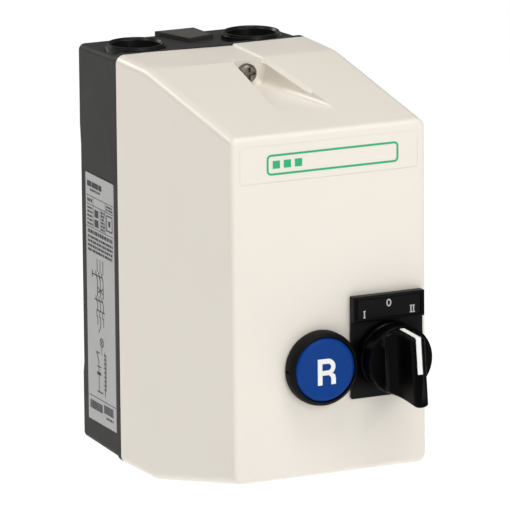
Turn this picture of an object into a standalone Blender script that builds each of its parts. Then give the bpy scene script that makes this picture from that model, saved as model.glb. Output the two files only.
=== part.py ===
"""Wall-mounted reversing motor starter in a two-part plastic case.

The case is a charcoal base tray with a cream screw-on cover. The cover carries a blue
overload reset button and a three-position selector switch. Inside are two small
contactors on a rail, a thermal overload relay, a terminal block and an earth terminal.

Frame: the origin is the centre of the rear mounting face, +Z is up and the front faces -Y.
All dimensions below are in millimetres; add_object() turns them into metres.
"""

import math

import bmesh
import bpy
from mathutils import Matrix, Vector

MM = 0.001
GAP = 0.3

# Case
CASE_W = 83.1
CASE_H = 162.9
BASE_DEPTH = 39.1
BODY_DEPTH = 142.4
COVER_WALL = 2.5
COVER_FRONT_W = 81.1
COVER_CORNER_R = 3.4
COVER_EDGE_R = 2.2
CORNER_STEPS = 6
RIDGE_Y = -65.6
RIDGE_DROP = 0.4
RIDGE_BLEND = 2.0
FRONT_TOP_Z = 67.95
CHAMFER_Y = -69.0
CHAMFER_RISE = 0.35
FRONT_BOTTOM_Z = -65.7

# Base tray
BASE_REAR_W = 80.34
BASE_REAR_TOP_Z = 79.0
BASE_REAR_BOTTOM_Z = -79.67
BASE_STEP_Y = -35.5
BASE_STEP_W = 81.7
BASE_STEP_TOP_Z = 80.3
BASE_STEP_BOTTOM_Z = -80.6
BASE_CORNER_R = 2.4
BASE_FLOOR_Y = -3.5
BASE_INNER_W = 74.6
BASE_INNER_H = 154.4
TONGUE_Y = -41.6
TONGUE_CLEARANCE = 0.4
SEAL_INSETS = (1.0, 2.6)
SEAL_GROOVE_Y = -37.6

# Rear face: a shallow recess between a top foot and a bottom foot, split by a central rib
RECESS_DEPTH = 1.65
RECESS_TOP_Z = (38.8, 55.6)
RECESS_BOTTOM_Z = (-48.8, -57.3)
RIB_HALF_W = 8.0
WALL_HOLE_R = 2.6
WALL_HOLES_X = (-32.0, 32.0)
WALL_HOLES_Z = (-66.0, 66.0)

# Raised pad on top of the base; its top rises a little towards the front
PAD_PLAN = ((-7.4, -0.5), (9.3, -0.5), (9.3, -19.0), (-2.7, -23.0))
PAD_FOOT_Z = 78.6
PAD_REAR_Z = 80.85
PAD_SLOPE = 0.03

# Cable entries
TOP_ENTRIES_X = (-27.2, 22.3)
TOP_ENTRY_Y = -26.2
BOTTOM_ENTRY_Y = -22.0
ENTRY_HOLE_R = 10.5
ENTRY_HOLE_INNER_Z = 77.0
ENTRY_BOSS_R = 11.7
ENTRY_BOSS_TOP_Z = 81.8
ENTRY_BOTTOM_SEAT_Z = 79.2
PLUG_NECK_R = 10.2
PLUG_LIP_R = 11.1
PLUG_MOUTH_R = 10.3
PLUG_BORE_R = 9.6

# Cover screw and its pocket
SCREW_X = 0.6
SCREW_Z = 75.85
POCKET_BACK_Y = -67.3
POCKET_FLOOR_Z = 70.75
POCKET_FRONT_Y = -132.0
POCKET_SIDES_X = (-5.0, 8.0)
POCKET_FLARES = (0.112, 0.076)
CHANNEL_SIDES_X = (-7.0, 8.2)
CHANNEL_DEPTH = 0.6

# Name plate: half width, lowest and highest edge of its recess
PLATE_HALF_W = 37.2
PLATE_Z = (49.9, 64.2)
PLATE_RECESS = 0.5

# Controls on the front
RESET_X = -4.77
RESET_Z = -23.45
RESET_BEZEL_R = 14.5
RESET_CAP_R = 12.35
SELECTOR_X = 22.97
SELECTOR_Z = -21.13
PANEL_HOLE_R = 11.1
SLEEVE_R = 10.8
LEGEND_W = 30.0
LEGEND_TOP_Z = 2.7
LEGEND_H = 40.0
LEGEND_FRAME_H = 10.05
LEGEND_PLATE_T = 1.9
LEGEND_FRAME_T = 3.6
LEGEND_BORDER = (1.6, 1.0)

# Selector knob; grip and marker heights are measured from the selector's axis
KNOB_R = 13.35
KNOB_BACK_Y = -149.8
KNOB_FRONT_Y = -156.4
GRIP_FRONT_Y = -171.0
GRIP_LEAN = 0.12
GRIP_TOP = (12.6, 12.1)
GRIP_BOTTOM = (-13.2, -14.7)
GRIP_HALF_T = 2.9
GRIP_FLARE = 3.9
MARKER_HALF_W = 1.1
MARKER_TAIL_Z = -1.9

# Inside
RAIL_Z = 22.0
RAIL_H = 35.0
RAIL_BACK_Y = -9.3
RAIL_POSTS_X = (-30.0, 30.0)
CONTACTOR_W = 36.1
CONTACTOR_CENTRES = {"left": -18.35, "right": 18.35}
POLE_PITCH = 8.5
CONTACTOR_SPLIT_Y = -45.0
CONTACTOR_LOW_Z = -9.5
CONTACTOR_HIGH_Z = 53.5
CONTACTOR_STEP_Y = -52.0
CONTACTOR_NOSE_Y = -75.0
RELAY_W = 44.6
RELAY_DIAL_X = -16.77
RELAY_DIAL_Z = -35.0
CAM_CONTACT_X = {"left": SELECTOR_X - 7.65, "right": SELECTOR_X + 7.65}
TERMINAL_ROW_Z = -67.0
TERMINAL_FIRST_X = -29.0
TERMINAL_PITCH = 9.3
TERMINALS = 4
EARTH_X = 25.0
EARTH_Z = -67.5


# ---------------------------------------------------------------- shape helpers


def clear_scene():
    for item in list(bpy.data.objects):
        bpy.data.objects.remove(item, do_unlink=True)


def material(name, colour, roughness, metallic=0.0):
    """One Principled material, made once and then shared by name."""
    found = bpy.data.materials.get(name)
    if found:
        return found
    made = bpy.data.materials.new(name)
    made.use_nodes = True
    shader = made.node_tree.nodes["Principled BSDF"]
    shader.inputs["Base Color"].default_value = (*colour, 1.0)
    shader.inputs["Roughness"].default_value = roughness
    shader.inputs["Metallic"].default_value = metallic
    made.diffuse_color = (*colour, 1.0)
    return made


def cream():
    return material("cream_plastic", (0.84, 0.80, 0.70), 0.42)


def charcoal():
    return material("charcoal_plastic", (0.06, 0.06, 0.058), 0.5)


def black():
    return material("black_plastic", (0.012, 0.012, 0.013), 0.3)


def light_grey():
    return material("light_grey_plastic", (0.48, 0.48, 0.49), 0.55)


def white():
    return material("white_plastic", (0.85, 0.85, 0.84), 0.4)


def blue():
    return material("blue_plastic", (0.010, 0.052, 0.27), 0.35)


def rubber():
    return material("black_rubber", (0.02, 0.02, 0.02), 0.8)


def zinc_steel():
    return material("zinc_steel", (0.62, 0.62, 0.60), 0.3, 1.0)


def brass():
    return material("brass", (0.72, 0.53, 0.25), 0.3, 1.0)


def copper():
    return material("copper", (0.78, 0.42, 0.27), 0.3, 1.0)


def world_origin(item):
    """World position of an item whose parents are only moved, never turned."""
    total = Vector((0.0, 0.0, 0.0))
    while item:
        total += item.location
        item = item.parent
    return total


def pivot(name, at, parent=None):
    """An empty on a joint's axis, placed in world millimetres, that moving pieces hang on."""
    empty = bpy.data.objects.new(name, None)
    empty.location = Vector(at) * MM - world_origin(parent)
    empty.parent = parent
    bpy.context.scene.collection.objects.link(empty)
    return empty


def add_object(name, shape, finish, parent=None):
    """Turn a shape in world millimetres into an object in metres, hung on its parent."""
    bmesh.ops.recalc_face_normals(shape, faces=shape.faces)
    to_parent = Matrix.Translation(-world_origin(parent)) @ Matrix.Scale(MM, 4)
    bmesh.ops.transform(shape, matrix=to_parent, verts=shape.verts)
    mesh = bpy.data.meshes.new(name)
    shape.to_mesh(mesh)
    shape.free()
    mesh.shade_smooth()
    mesh.set_sharp_from_angle(angle=math.radians(35))
    if finish:
        mesh.materials.append(finish)
    made = bpy.data.objects.new(name, mesh)
    made.parent = parent
    bpy.context.scene.collection.objects.link(made)
    return made


def combine(target, name, shape, operation):
    """Join a hidden tool shape to the target, or cut it away; both share the world frame."""
    tool = add_object(name, shape, None)
    tool.hide_render = True
    tool.display_type = "WIRE"
    modifier = target.modifiers.new(name, "BOOLEAN")
    modifier.operation = operation
    modifier.object = tool
    modifier.solver = "EXACT"


def place(axis, along, first, second):
    """A point given by its distance along one axis and its two other coordinates."""
    point = [first, second]
    point.insert(axis, along)
    return point


def bridge(shape, ring_a, ring_b):
    """Faces between two rings of vertices; a ring of one vertex is a pole."""
    count = max(len(ring_a), len(ring_b))
    for index in range(count):
        corners = []
        for ring, order in ((ring_a, (index - 1, index)), (ring_b, (index, index - 1))):
            picked = ring if len(ring) == 1 else [ring[order[0]], ring[order[1]]]
            corners.extend(picked)
        shape.faces.new(corners)


def add_box(shape, low, high):
    """An axis-aligned box between two corners."""
    outline = [(low[1], low[2]), (high[1], low[2]), (high[1], high[2]), (low[1], high[2])]
    add_prism(shape, outline, 0, low[0], high[0])


def add_prism(shape, outline, axis, start, end):
    """A flat outline pushed along one axis."""
    add_loft(shape, [[place(axis, along, *pair) for pair in outline] for along in (start, end)])


def add_loft(shape, sections, ring=False):
    """A skin through sections with equal point counts, capped, or closed into a ring."""
    rings = [[shape.verts.new(point) for point in section] for section in sections]
    for ring_a, ring_b in zip(rings, rings[1:]):
        bridge(shape, ring_a, ring_b)
    if ring:
        bridge(shape, rings[-1], rings[0])
    else:
        shape.faces.new(rings[0])
        shape.faces.new(rings[-1])


def add_turned(shape, profile, axis, segments, centre=(0.0, 0.0)):
    """A profile of (radius, distance along the axis) turned about that axis.

    A profile that starts and ends on the axis makes a solid; any other makes a ring.
    """
    rings = []
    for radius, along in profile:
        count = segments if radius > 0.0 else 1
        ring = []
        for step in range(count):
            angle = math.tau * step / segments
            first = centre[0] + radius * math.cos(angle)
            second = centre[1] + radius * math.sin(angle)
            ring.append(shape.verts.new(place(axis, along, first, second)))
        rings.append(ring)
    for ring_a, ring_b in zip(rings, rings[1:]):
        bridge(shape, ring_a, ring_b)
    if profile[0][0] > 0.0:
        bridge(shape, rings[-1], rings[0])


def add_cylinder(shape, radius, axis, start, end, segments, centre=(0.0, 0.0)):
    profile = [(0.0, start), (radius, start), (radius, end), (0.0, end)]
    add_turned(shape, profile, axis, segments, centre)


def turned(name, profile, axis, segments, finish, parent, centre=(0.0, 0.0)):
    shape = bmesh.new()
    add_turned(shape, profile, axis, segments, centre)
    return add_object(name, shape, finish, parent)


def ring_profile(inner, outer, start, end):
    return [(inner, start), (outer, start), (outer, end), (inner, end)]


def box(name, low, high, finish, parent):
    shape = bmesh.new()
    add_box(shape, low, high)
    return add_object(name, shape, finish, parent)


def rounded_rectangle(half_w, low_z, high_z, radius, y):
    """Points of a rounded rectangle in the XZ plane, seen from the front."""
    points = []
    corners = (
        (half_w - radius, high_z - radius, 0.0),
        (radius - half_w, high_z - radius, 90.0),
        (radius - half_w, low_z + radius, 180.0),
        (half_w - radius, low_z + radius, 270.0),
    )
    for centre_x, centre_z, start in corners:
        for step in range(CORNER_STEPS + 1):
            angle = math.radians(start + 90.0 * step / CORNER_STEPS)
            x = centre_x + radius * math.cos(angle)
            z = centre_z + radius * math.sin(angle)
            points.append((x, y, z))
    return points


def spring(name, radius, wire, start, end, turns, parent, centre=(0.0, 0.0)):
    """A compression spring along Y."""
    steps_per_turn = 9
    sides = 4
    steps = int(turns * steps_per_turn)
    sections = []
    for step in range(steps + 1):
        angle = math.tau * step / steps_per_turn
        along = start + (end - start) * step / steps
        section = []
        for side in range(sides):
            around = math.tau * side / sides
            reach = radius + wire * math.cos(around)
            x = centre[0] + reach * math.cos(angle)
            z = centre[1] + reach * math.sin(angle)
            section.append((x, along + wire * math.sin(around), z))
        sections.append(section)
    shape = bmesh.new()
    add_loft(shape, sections)
    return add_object(name, shape, zinc_steel(), parent)


# ---------------------------------------------------------------- case


def kinked(y, break_y, before, after):
    """Height at y of an edge made of two straight runs, with the kink between them rounded.

    `before` is (start y, start z, z of the kink) and `after` is the (y, z) of the far end.
    The kink is at break_y, where a parabola joins the two slopes.
    """
    kink_z = before[2]
    first_slope = (kink_z - before[1]) / (break_y - before[0])
    second_slope = (after[1] - kink_z) / (after[0] - break_y)
    offset = y - break_y
    if offset >= RIDGE_BLEND:
        return kink_z + first_slope * offset
    if offset <= -RIDGE_BLEND:
        return kink_z + second_slope * offset
    middle = 0.5 * (first_slope + second_slope) * offset
    bend = (first_slope - second_slope) * (offset ** 2 + RIDGE_BLEND ** 2) / (4.0 * RIDGE_BLEND)
    return kink_z + middle + bend


def cover_top(y):
    """Height of the cover's upper side: nearly flat, then sloping to the front."""
    start = (-BASE_DEPTH, CASE_H / 2, CASE_H / 2 - RIDGE_DROP)
    return kinked(y, RIDGE_Y, start, (-BODY_DEPTH, FRONT_TOP_Z))


def cover_bottom(y):
    """Height of the cover's lower side: nearly flat, then rising to the front."""
    start = (-BASE_DEPTH, -CASE_H / 2, CHAMFER_RISE - CASE_H / 2)
    return kinked(y, CHAMFER_Y, start, (-BODY_DEPTH, FRONT_BOTTOM_Z))


def cover_half_width(y):
    share = (-y - BASE_DEPTH) / (BODY_DEPTH - BASE_DEPTH)
    return (CASE_W + (COVER_FRONT_W - CASE_W) * share) / 2


def cover_section(y, inset):
    """The cover's outline at a depth, moved inwards by an inset."""
    return rounded_rectangle(
        cover_half_width(y) - inset,
        cover_bottom(y) + inset,
        cover_top(y) - inset,
        max(COVER_CORNER_R - inset, 0.9),
        y,
    )


def cover_shell():
    """Outer skin from the front edge to the rear edge, then the inner skin back again."""
    rear_y = -BASE_DEPTH - GAP
    stations = [rear_y]
    for kink in (RIDGE_Y, CHAMFER_Y):
        stations.extend(kink + RIDGE_BLEND * share for share in (1.0, 0.5, 0.0, -0.5, -1.0))
    stations.append(COVER_EDGE_R - BODY_DEPTH)
    stations = sorted(stations)
    edge = []
    edge_steps = 4
    for step in range(edge_steps, 0, -1):
        angle = math.radians(90.0 * step / edge_steps)
        inset = COVER_EDGE_R * (1.0 - math.cos(angle))
        outline = cover_section(stations[0], inset)
        forward = COVER_EDGE_R * math.sin(angle)
        edge.append([(x, y - forward, z) for x, y, z in outline])
    outer = [cover_section(y, 0.0) for y in stations]
    inner_front = COVER_WALL - BODY_DEPTH
    inner = [cover_section(y, COVER_WALL) for y in reversed(stations) if y > inner_front]
    inner.append(cover_section(inner_front, COVER_WALL))
    shape = bmesh.new()
    add_loft(shape, edge + outer + inner)
    return shape


def pocket_outline(margin, front_y):
    """Plan outline of the screw pocket, which widens towards the front."""
    back_y = POCKET_BACK_Y + margin
    left, right = POCKET_SIDES_X[0] - margin, POCKET_SIDES_X[1] + margin
    reach = back_y - front_y
    return [
        (left, back_y),
        (right, back_y),
        (right + POCKET_FLARES[1] * reach, front_y),
        (left - POCKET_FLARES[0] * reach, front_y),
    ]


def pocket_liner():
    """The solid block that the screw pocket is sunk into, just under the cover's skin."""
    below_skin, wall, floor_t = 0.6, 2.1, 2.0
    outline = pocket_outline(wall, POCKET_FRONT_Y - 1.0)
    floor_z = POCKET_FLOOR_Z - floor_t
    top = []
    for x, y in outline:
        top.append((x, y, cover_top(y) - below_skin))
    shape = bmesh.new()
    add_loft(shape, [[(x, y, floor_z) for x, y in outline], top])
    return shape


def cover_cuts():
    """Panel holes, screw pocket, screw hole and name plate recess."""
    above_top, past_panel = 95.0, 5.0
    front_y, behind_y = -BODY_DEPTH - past_panel, -BODY_DEPTH + past_panel
    shape = bmesh.new()
    for centre in ((RESET_X, RESET_Z), (SELECTOR_X, SELECTOR_Z)):
        add_cylinder(shape, PANEL_HOLE_R, 1, front_y, behind_y, 40, centre)
    add_prism(shape, pocket_outline(0.0, POCKET_FRONT_Y), 2, POCKET_FLOOR_Z, above_top)
    recess_low = (-PLATE_HALF_W, front_y, PLATE_Z[0])
    add_box(shape, recess_low, (PLATE_HALF_W, PLATE_RECESS - BODY_DEPTH, PLATE_Z[1]))
    return shape


def top_channel():
    """A shallow channel along the top, from the rear edge to the screw pocket."""
    rear_y, front_y, above = -BASE_DEPTH + 2.0, POCKET_BACK_Y - 0.5, 90.0
    outline = [
        (rear_y, CASE_H / 2 - CHANNEL_DEPTH),
        (front_y, CASE_H / 2 - RIDGE_DROP - CHANNEL_DEPTH),
        (front_y, above),
        (rear_y, above),
    ]
    shape = bmesh.new()
    add_prism(shape, outline, 0, *CHANNEL_SIDES_X)
    return shape


def screw_hole():
    radius = 1.95
    shape = bmesh.new()
    centre = (SCREW_X, SCREW_Z)
    add_cylinder(shape, radius, 1, POCKET_BACK_Y - 1.0, POCKET_BACK_Y + 5.0, 20, centre)
    return shape


def locating_tabs():
    """Two tabs at the bottom of the cover that reach inside the base tray."""
    tab_low, tab_high, root_z, tab_w = -76.7, -74.9, -79.6, 12.0
    front_y, shoulder_y, tip_y = -50.0, -42.2, -34.0
    outline = [
        (front_y, root_z),
        (front_y, tab_high),
        (tip_y, tab_high),
        (tip_y, tab_low),
        (shoulder_y, tab_low),
        (shoulder_y, root_z),
    ]
    shape = bmesh.new()
    for left in (-26.0, 14.0):
        add_prism(shape, outline, 0, left, left + tab_w)
    return shape


def front_cover(parent):
    cover = add_object("front_cover", cover_shell(), cream(), parent)
    combine(cover, "cover_pocket_liner", pocket_liner(), "UNION")
    combine(cover, "cover_tabs", locating_tabs(), "UNION")
    combine(cover, "cover_openings", cover_cuts(), "DIFFERENCE")
    combine(cover, "cover_channel", top_channel(), "DIFFERENCE")
    combine(cover, "cover_screw_hole", screw_hole(), "DIFFERENCE")


def name_plate(parent):
    """Blank plate, seated in its shallow recess on the front."""
    half_w, low_z, high_z = PLATE_HALF_W - GAP, PLATE_Z[0] + GAP, PLATE_Z[1] - GAP
    front_y, back_y = -BODY_DEPTH - 0.25, PLATE_RECESS - GAP - BODY_DEPTH
    shape = bmesh.new()
    add_loft(shape, [rounded_rectangle(half_w, low_z, high_z, 1.5, y) for y in (front_y, back_y)])
    add_object("name_plate", shape, cream(), parent)


def base_outline(y, inset=0.0):
    """The tray's drafted outer outline behind its rim."""
    share = y / BASE_STEP_Y
    half_w = (BASE_REAR_W + (BASE_STEP_W - BASE_REAR_W) * share) / 2
    low = BASE_REAR_BOTTOM_Z + (BASE_STEP_BOTTOM_Z - BASE_REAR_BOTTOM_Z) * share
    high = BASE_REAR_TOP_Z + (BASE_STEP_TOP_Z - BASE_REAR_TOP_Z) * share
    return rounded_rectangle(half_w - inset, low + inset, high - inset, BASE_CORNER_R, y)


def rim_outline(y, inset, radius):
    half_w, half_h = CASE_W / 2 - inset, CASE_H / 2 - inset
    return rounded_rectangle(half_w, -half_h, half_h, radius, y)


def base_tray():
    """Outer wall, rim, tongue and inner wall of the tray, from back to floor."""
    tongue_inset = COVER_WALL + TONGUE_CLEARANCE
    rear_chamfer = 0.8
    half_w, half_h = BASE_INNER_W / 2, BASE_INNER_H / 2
    inner = [rounded_rectangle(half_w, -half_h, half_h, 1.2, y) for y in (TONGUE_Y, BASE_FLOOR_Y)]
    sections = [
        base_outline(0.0, rear_chamfer),
        base_outline(-rear_chamfer),
        base_outline(BASE_STEP_Y),
        rim_outline(BASE_STEP_Y - 0.4, 0.0, COVER_CORNER_R),
        rim_outline(-BASE_DEPTH, 0.0, COVER_CORNER_R),
        rim_outline(-BASE_DEPTH, tongue_inset, 1.2),
        rim_outline(TONGUE_Y, tongue_inset, 1.2),
    ]
    shape = bmesh.new()
    add_loft(shape, sections + inner)
    return shape


def base_bosses():
    """Entry bosses and raised pad on top; screw post, rail posts and relay stand inside."""
    in_wall_z, in_floor_y = 78.5, BASE_FLOOR_Y + 0.5
    post_half_w, post_z = 5.5, (70.2, 77.8)
    rail_post_r = 4.2
    shape = bmesh.new()
    for x in TOP_ENTRIES_X:
        add_cylinder(shape, ENTRY_BOSS_R, 2, in_wall_z, ENTRY_BOSS_TOP_Z, 28, (x, TOP_ENTRY_Y))
    foot = [(x, y, PAD_FOOT_Z) for x, y in PAD_PLAN]
    top = [(x, y, PAD_REAR_Z - PAD_SLOPE * y) for x, y in PAD_PLAN]
    add_loft(shape, [foot, top])
    post_low = (SCREW_X - post_half_w, SEAL_GROOVE_Y + 1.1, post_z[0])
    add_box(shape, post_low, (SCREW_X + post_half_w, in_floor_y, post_z[1]))
    for x in RAIL_POSTS_X:
        add_cylinder(shape, rail_post_r, 1, RAIL_BACK_Y + GAP, in_floor_y, 16, (x, RAIL_Z))
    relay_stand_low, relay_stand_high = (-22.0, -9.7, -52.0), (12.0, in_floor_y, -20.0)
    add_box(shape, relay_stand_low, relay_stand_high)
    return shape


def base_cuts():
    """Cable entries, the lower ones with a lip seat; rear recess; screw and insert holes."""
    outside_z, outside_x, behind_y = 90.0, 50.0, 2.0
    pilot_r, insert_hole_r = 1.8, 3.0
    shape = bmesh.new()
    lip_seat_r, lip_seat_z = PLUG_LIP_R + GAP, GAP - ENTRY_BOTTOM_SEAT_Z
    stepped = [
        (0.0, -ENTRY_HOLE_INNER_Z),
        (ENTRY_HOLE_R, -ENTRY_HOLE_INNER_Z),
        (ENTRY_HOLE_R, lip_seat_z),
        (lip_seat_r, lip_seat_z),
        (lip_seat_r, -outside_z),
        (0.0, -outside_z),
    ]
    for x in TOP_ENTRIES_X:
        above = (ENTRY_HOLE_INNER_Z, outside_z)
        add_cylinder(shape, ENTRY_HOLE_R, 2, *above, 28, (x, TOP_ENTRY_Y))
        add_turned(shape, stepped, 2, 28, (x, BOTTOM_ENTRY_Y))
    recess = [
        (behind_y, RECESS_TOP_Z[1] + 4.0),
        (0.0, RECESS_TOP_Z[1]),
        (-RECESS_DEPTH, RECESS_TOP_Z[0]),
        (-RECESS_DEPTH, RECESS_BOTTOM_Z[0]),
        (0.0, RECESS_BOTTOM_Z[1]),
        (behind_y, RECESS_BOTTOM_Z[1] - 4.0),
    ]
    for near, far in ((RIB_HALF_W, outside_x), (-outside_x, -RIB_HALF_W)):
        add_prism(shape, recess, 0, near, far)
    for x in WALL_HOLES_X:
        for z in WALL_HOLES_Z:
            add_cylinder(shape, WALL_HOLE_R, 1, BASE_FLOOR_Y - 4.5, behind_y, 20, (x, z))
    for x in RAIL_POSTS_X:
        add_cylinder(shape, pilot_r, 1, RAIL_BACK_Y - 2.7, BASE_FLOOR_Y - 0.7, 14, (x, RAIL_Z))
    add_cylinder(shape, insert_hole_r, 1, TONGUE_Y - 2.4, -14.0, 20, (SCREW_X, SCREW_Z))
    return shape


def seal_ring(clearance, back_y, front_y):
    """A ring that follows the rim: the seal groove, or the gasket in it with a clearance."""
    outer, inner = SEAL_INSETS[0] + clearance, SEAL_INSETS[1] - clearance
    sections = []
    for inset, y in ((outer, back_y), (outer, front_y), (inner, front_y), (inner, back_y)):
        sections.append(rim_outline(y, inset, COVER_CORNER_R - inset))
    shape = bmesh.new()
    add_loft(shape, sections, ring=True)
    return shape


def rear_base(parent):
    base = add_object("rear_base", base_tray(), charcoal(), parent)
    combine(base, "base_bosses", base_bosses(), "UNION")
    combine(base, "base_seal_groove", seal_ring(0.0, SEAL_GROOVE_Y, -45.0), "DIFFERENCE")
    combine(base, "base_openings", base_cuts(), "DIFFERENCE")


def cover_gasket(parent):
    """Rubber seal lying in the groove between rim and tongue."""
    shape = seal_ring(GAP, SEAL_GROOVE_Y - GAP, -BASE_DEPTH)
    add_object("cover_gasket", shape, rubber(), parent)


def entry_plugs(parent):
    """Cup-shaped blanking plugs: the top two stand on a boss, the lower two sit flush."""
    inner_z, web_z, lip_t = ENTRY_HOLE_INNER_Z + GAP, 78.4, 0.8
    seat_z = {"top": ENTRY_BOSS_TOP_Z + GAP, "bottom": ENTRY_BOTTOM_SEAT_Z}
    entry_y = {"top": TOP_ENTRY_Y, "bottom": BOTTOM_ENTRY_Y}
    for level, sign in (("top", 1.0), ("bottom", -1.0)):
        seat = seat_z[level]
        profile = [
            (0.0, inner_z),
            (PLUG_NECK_R, inner_z),
            (PLUG_NECK_R, seat),
            (PLUG_LIP_R, seat),
            (PLUG_LIP_R, seat + lip_t),
            (PLUG_MOUTH_R, seat + lip_t),
            (PLUG_MOUTH_R - 0.2, seat + 0.1),
            (PLUG_BORE_R, seat),
            (PLUG_BORE_R, web_z),
            (0.0, web_z),
        ]
        mirrored = [(radius, sign * along) for radius, along in profile]
        for side, x in zip(("left", "right"), TOP_ENTRIES_X):
            name = f"entry_plug_{level}_{side}"
            turned(name, mirrored, 2, 28, rubber(), parent, (x, entry_y[level]))


def side_label(parent):
    """Rating label on the left side of the base, following the wall's draft."""
    thickness, off_wall = 0.3, 0.05
    rear_y, front_y, low_z, high_z = -6.5, -34.5, -70.2, 29.2
    outline = ((rear_y, low_z), (front_y, low_z), (front_y, high_z), (rear_y, high_z))
    sections = []
    for lift in (off_wall, off_wall + thickness):
        section = []
        for y, z in outline:
            share = y / BASE_STEP_Y
            wall_x = -(BASE_REAR_W + (BASE_STEP_W - BASE_REAR_W) * share) / 2
            section.append((wall_x - lift, y, z))
        sections.append(section)
    shape = bmesh.new()
    add_loft(shape, sections)
    add_object("side_label", shape, light_grey(), parent)


def threaded_insert(parent):
    profile = ring_profile(1.9, 2.7, -36.2, -24.0)
    turned("threaded_insert", profile, 1, 20, brass(), parent, (SCREW_X, SCREW_Z))


def cross_recess(depth, reach, face_y, centre):
    """A plain cross-shaped tool for a screw head's recess."""
    half, in_front = 0.6, 2.0
    x, z = centre
    outline = [
        (x - reach, z - half), (x - half, z - half), (x - half, z - reach),
        (x + half, z - reach), (x + half, z - half), (x + reach, z - half),
        (x + reach, z + half), (x + half, z + half), (x + half, z + reach),
        (x - half, z + reach), (x - half, z + half), (x - reach, z + half),
    ]
    shape = bmesh.new()
    add_prism(shape, outline, 1, face_y - in_front, face_y + depth)
    return shape


def cover_screw(parent):
    """Captive screw: head in the pocket, shank reaching into the insert."""
    seat_y = POCKET_BACK_Y - GAP
    face_y = seat_y - 3.2
    head_r, shank_r, tip_y = 3.75, 1.6, -24.5
    profile = [
        (0.0, face_y),
        (head_r - 0.85, face_y),
        (head_r - 0.15, face_y + 0.5),
        (head_r, face_y + 1.2),
        (head_r, seat_y),
        (shank_r, seat_y),
        (shank_r, tip_y - 1.0),
        (0.0, tip_y),
    ]
    centre = (SCREW_X, SCREW_Z)
    screw = turned("cover_screw", profile, 1, 24, zinc_steel(), parent, centre)
    combine(screw, "cover_screw_recess", cross_recess(1.3, 2.3, face_y, centre), "DIFFERENCE")


def screw_retainer(parent):
    profile = ring_profile(1.8, 2.45, -64.4, -63.2)
    turned("screw_retainer", profile, 1, 20, black(), parent, (SCREW_X, SCREW_Z))


# ---------------------------------------------------------------- controls on the cover


def reset_bezel(parent):
    """Black ring on the panel with a threaded sleeve, a cap recess and a spring shoulder."""
    front_y, seat_y = -BODY_DEPTH - 5.7, -BODY_DEPTH - GAP
    recess_r, recess_y = RESET_CAP_R + GAP, -BODY_DEPTH - 1.3
    guide_r, hub_r, shoulder_y, sleeve_end_y = 4.0, 9.3, -128.5, -127.0
    profile = [
        (recess_r, recess_y),
        (recess_r, front_y),
        (RESET_BEZEL_R - 0.9, front_y),
        (RESET_BEZEL_R, front_y + 1.2),
        (RESET_BEZEL_R, seat_y),
        (SLEEVE_R, seat_y),
        (SLEEVE_R, sleeve_end_y),
        (guide_r, sleeve_end_y),
        (guide_r, shoulder_y),
        (hub_r, shoulder_y),
        (hub_r, recess_y),
    ]
    turned("reset_bezel", profile, 1, 36, black(), parent, (RESET_X, RESET_Z))


def reset_nut(parent):
    inner_y = COVER_WALL - BODY_DEPTH + GAP
    profile = ring_profile(11.1, 12.6, inner_y, inner_y + 4.0)
    turned("reset_nut", profile, 1, 24, black(), parent, (RESET_X, RESET_Z))


def reset_cap(parent):
    """Blue cap with a softly rounded, slightly dished face and a guide hub."""
    front_y = -BODY_DEPTH - 6.0
    hub_r, hub_end_y = 9.0, -140.0
    profile = [
        (0.0, front_y + 0.5),
        (6.0, front_y + 0.4),
        (9.5, front_y + 0.12),
        (11.0, front_y),
        (RESET_CAP_R - 0.45, front_y + 0.3),
        (RESET_CAP_R, front_y + 1.0),
        (RESET_CAP_R, front_y + 1.9),
        (hub_r, front_y + 1.9),
        (hub_r, hub_end_y),
        (0.0, hub_end_y),
    ]
    turned("reset_cap", profile, 1, 36, blue(), parent, (RESET_X, RESET_Z))


def reset_rod(parent):
    """Push rod from the cap to the relay's own reset plunger."""
    flange_r, rod_r, head_y, rear_y = 5.0, 3.0, -139.7, -76.6
    profile = [
        (0.0, head_y),
        (flange_r, head_y),
        (flange_r, head_y + 1.5),
        (rod_r, head_y + 1.5),
        (rod_r, rear_y),
        (0.0, rear_y),
    ]
    turned("reset_rod", profile, 1, 20, white(), parent, (RESET_X, RESET_Z))


def reset_spring(parent):
    spring("reset_spring", 6.8, 0.45, -139.2, -129.4, 4, parent, (RESET_X, RESET_Z))


def legend_holder(parent):
    """Thin square-cornered plate with a thicker frame across its top for the legend strip."""
    back_y = -BODY_DEPTH - GAP
    plate_y, frame_y = back_y - LEGEND_PLATE_T, back_y - LEGEND_FRAME_T
    left, right = SELECTOR_X - LEGEND_W / 2, SELECTOR_X + LEGEND_W / 2
    bottom_z = LEGEND_TOP_Z - LEGEND_H
    step_z = LEGEND_TOP_Z - LEGEND_FRAME_H
    outline = [
        (back_y, bottom_z),
        (plate_y, bottom_z),
        (plate_y, step_z),
        (frame_y, step_z),
        (frame_y, LEGEND_TOP_Z),
        (back_y, LEGEND_TOP_Z),
    ]
    shape = bmesh.new()
    add_prism(shape, outline, 0, left, right)
    holder = add_object("legend_holder", shape, black(), parent)
    cuts = bmesh.new()
    in_front_y, behind_y = frame_y - 2.0, back_y + 2.0
    add_cylinder(cuts, PANEL_HOLE_R, 1, in_front_y, behind_y, 40, (SELECTOR_X, SELECTOR_Z))
    add_cylinder(cuts, RESET_BEZEL_R + GAP, 1, in_front_y, behind_y, 48, (RESET_X, RESET_Z))
    side, border, strip_seat = *LEGEND_BORDER, 1.0
    strip_low = (left + side, in_front_y, step_z + border)
    add_box(cuts, strip_low, (right - side, frame_y + strip_seat, LEGEND_TOP_Z - border))
    combine(holder, "legend_holder_openings", cuts, "DIFFERENCE")


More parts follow.
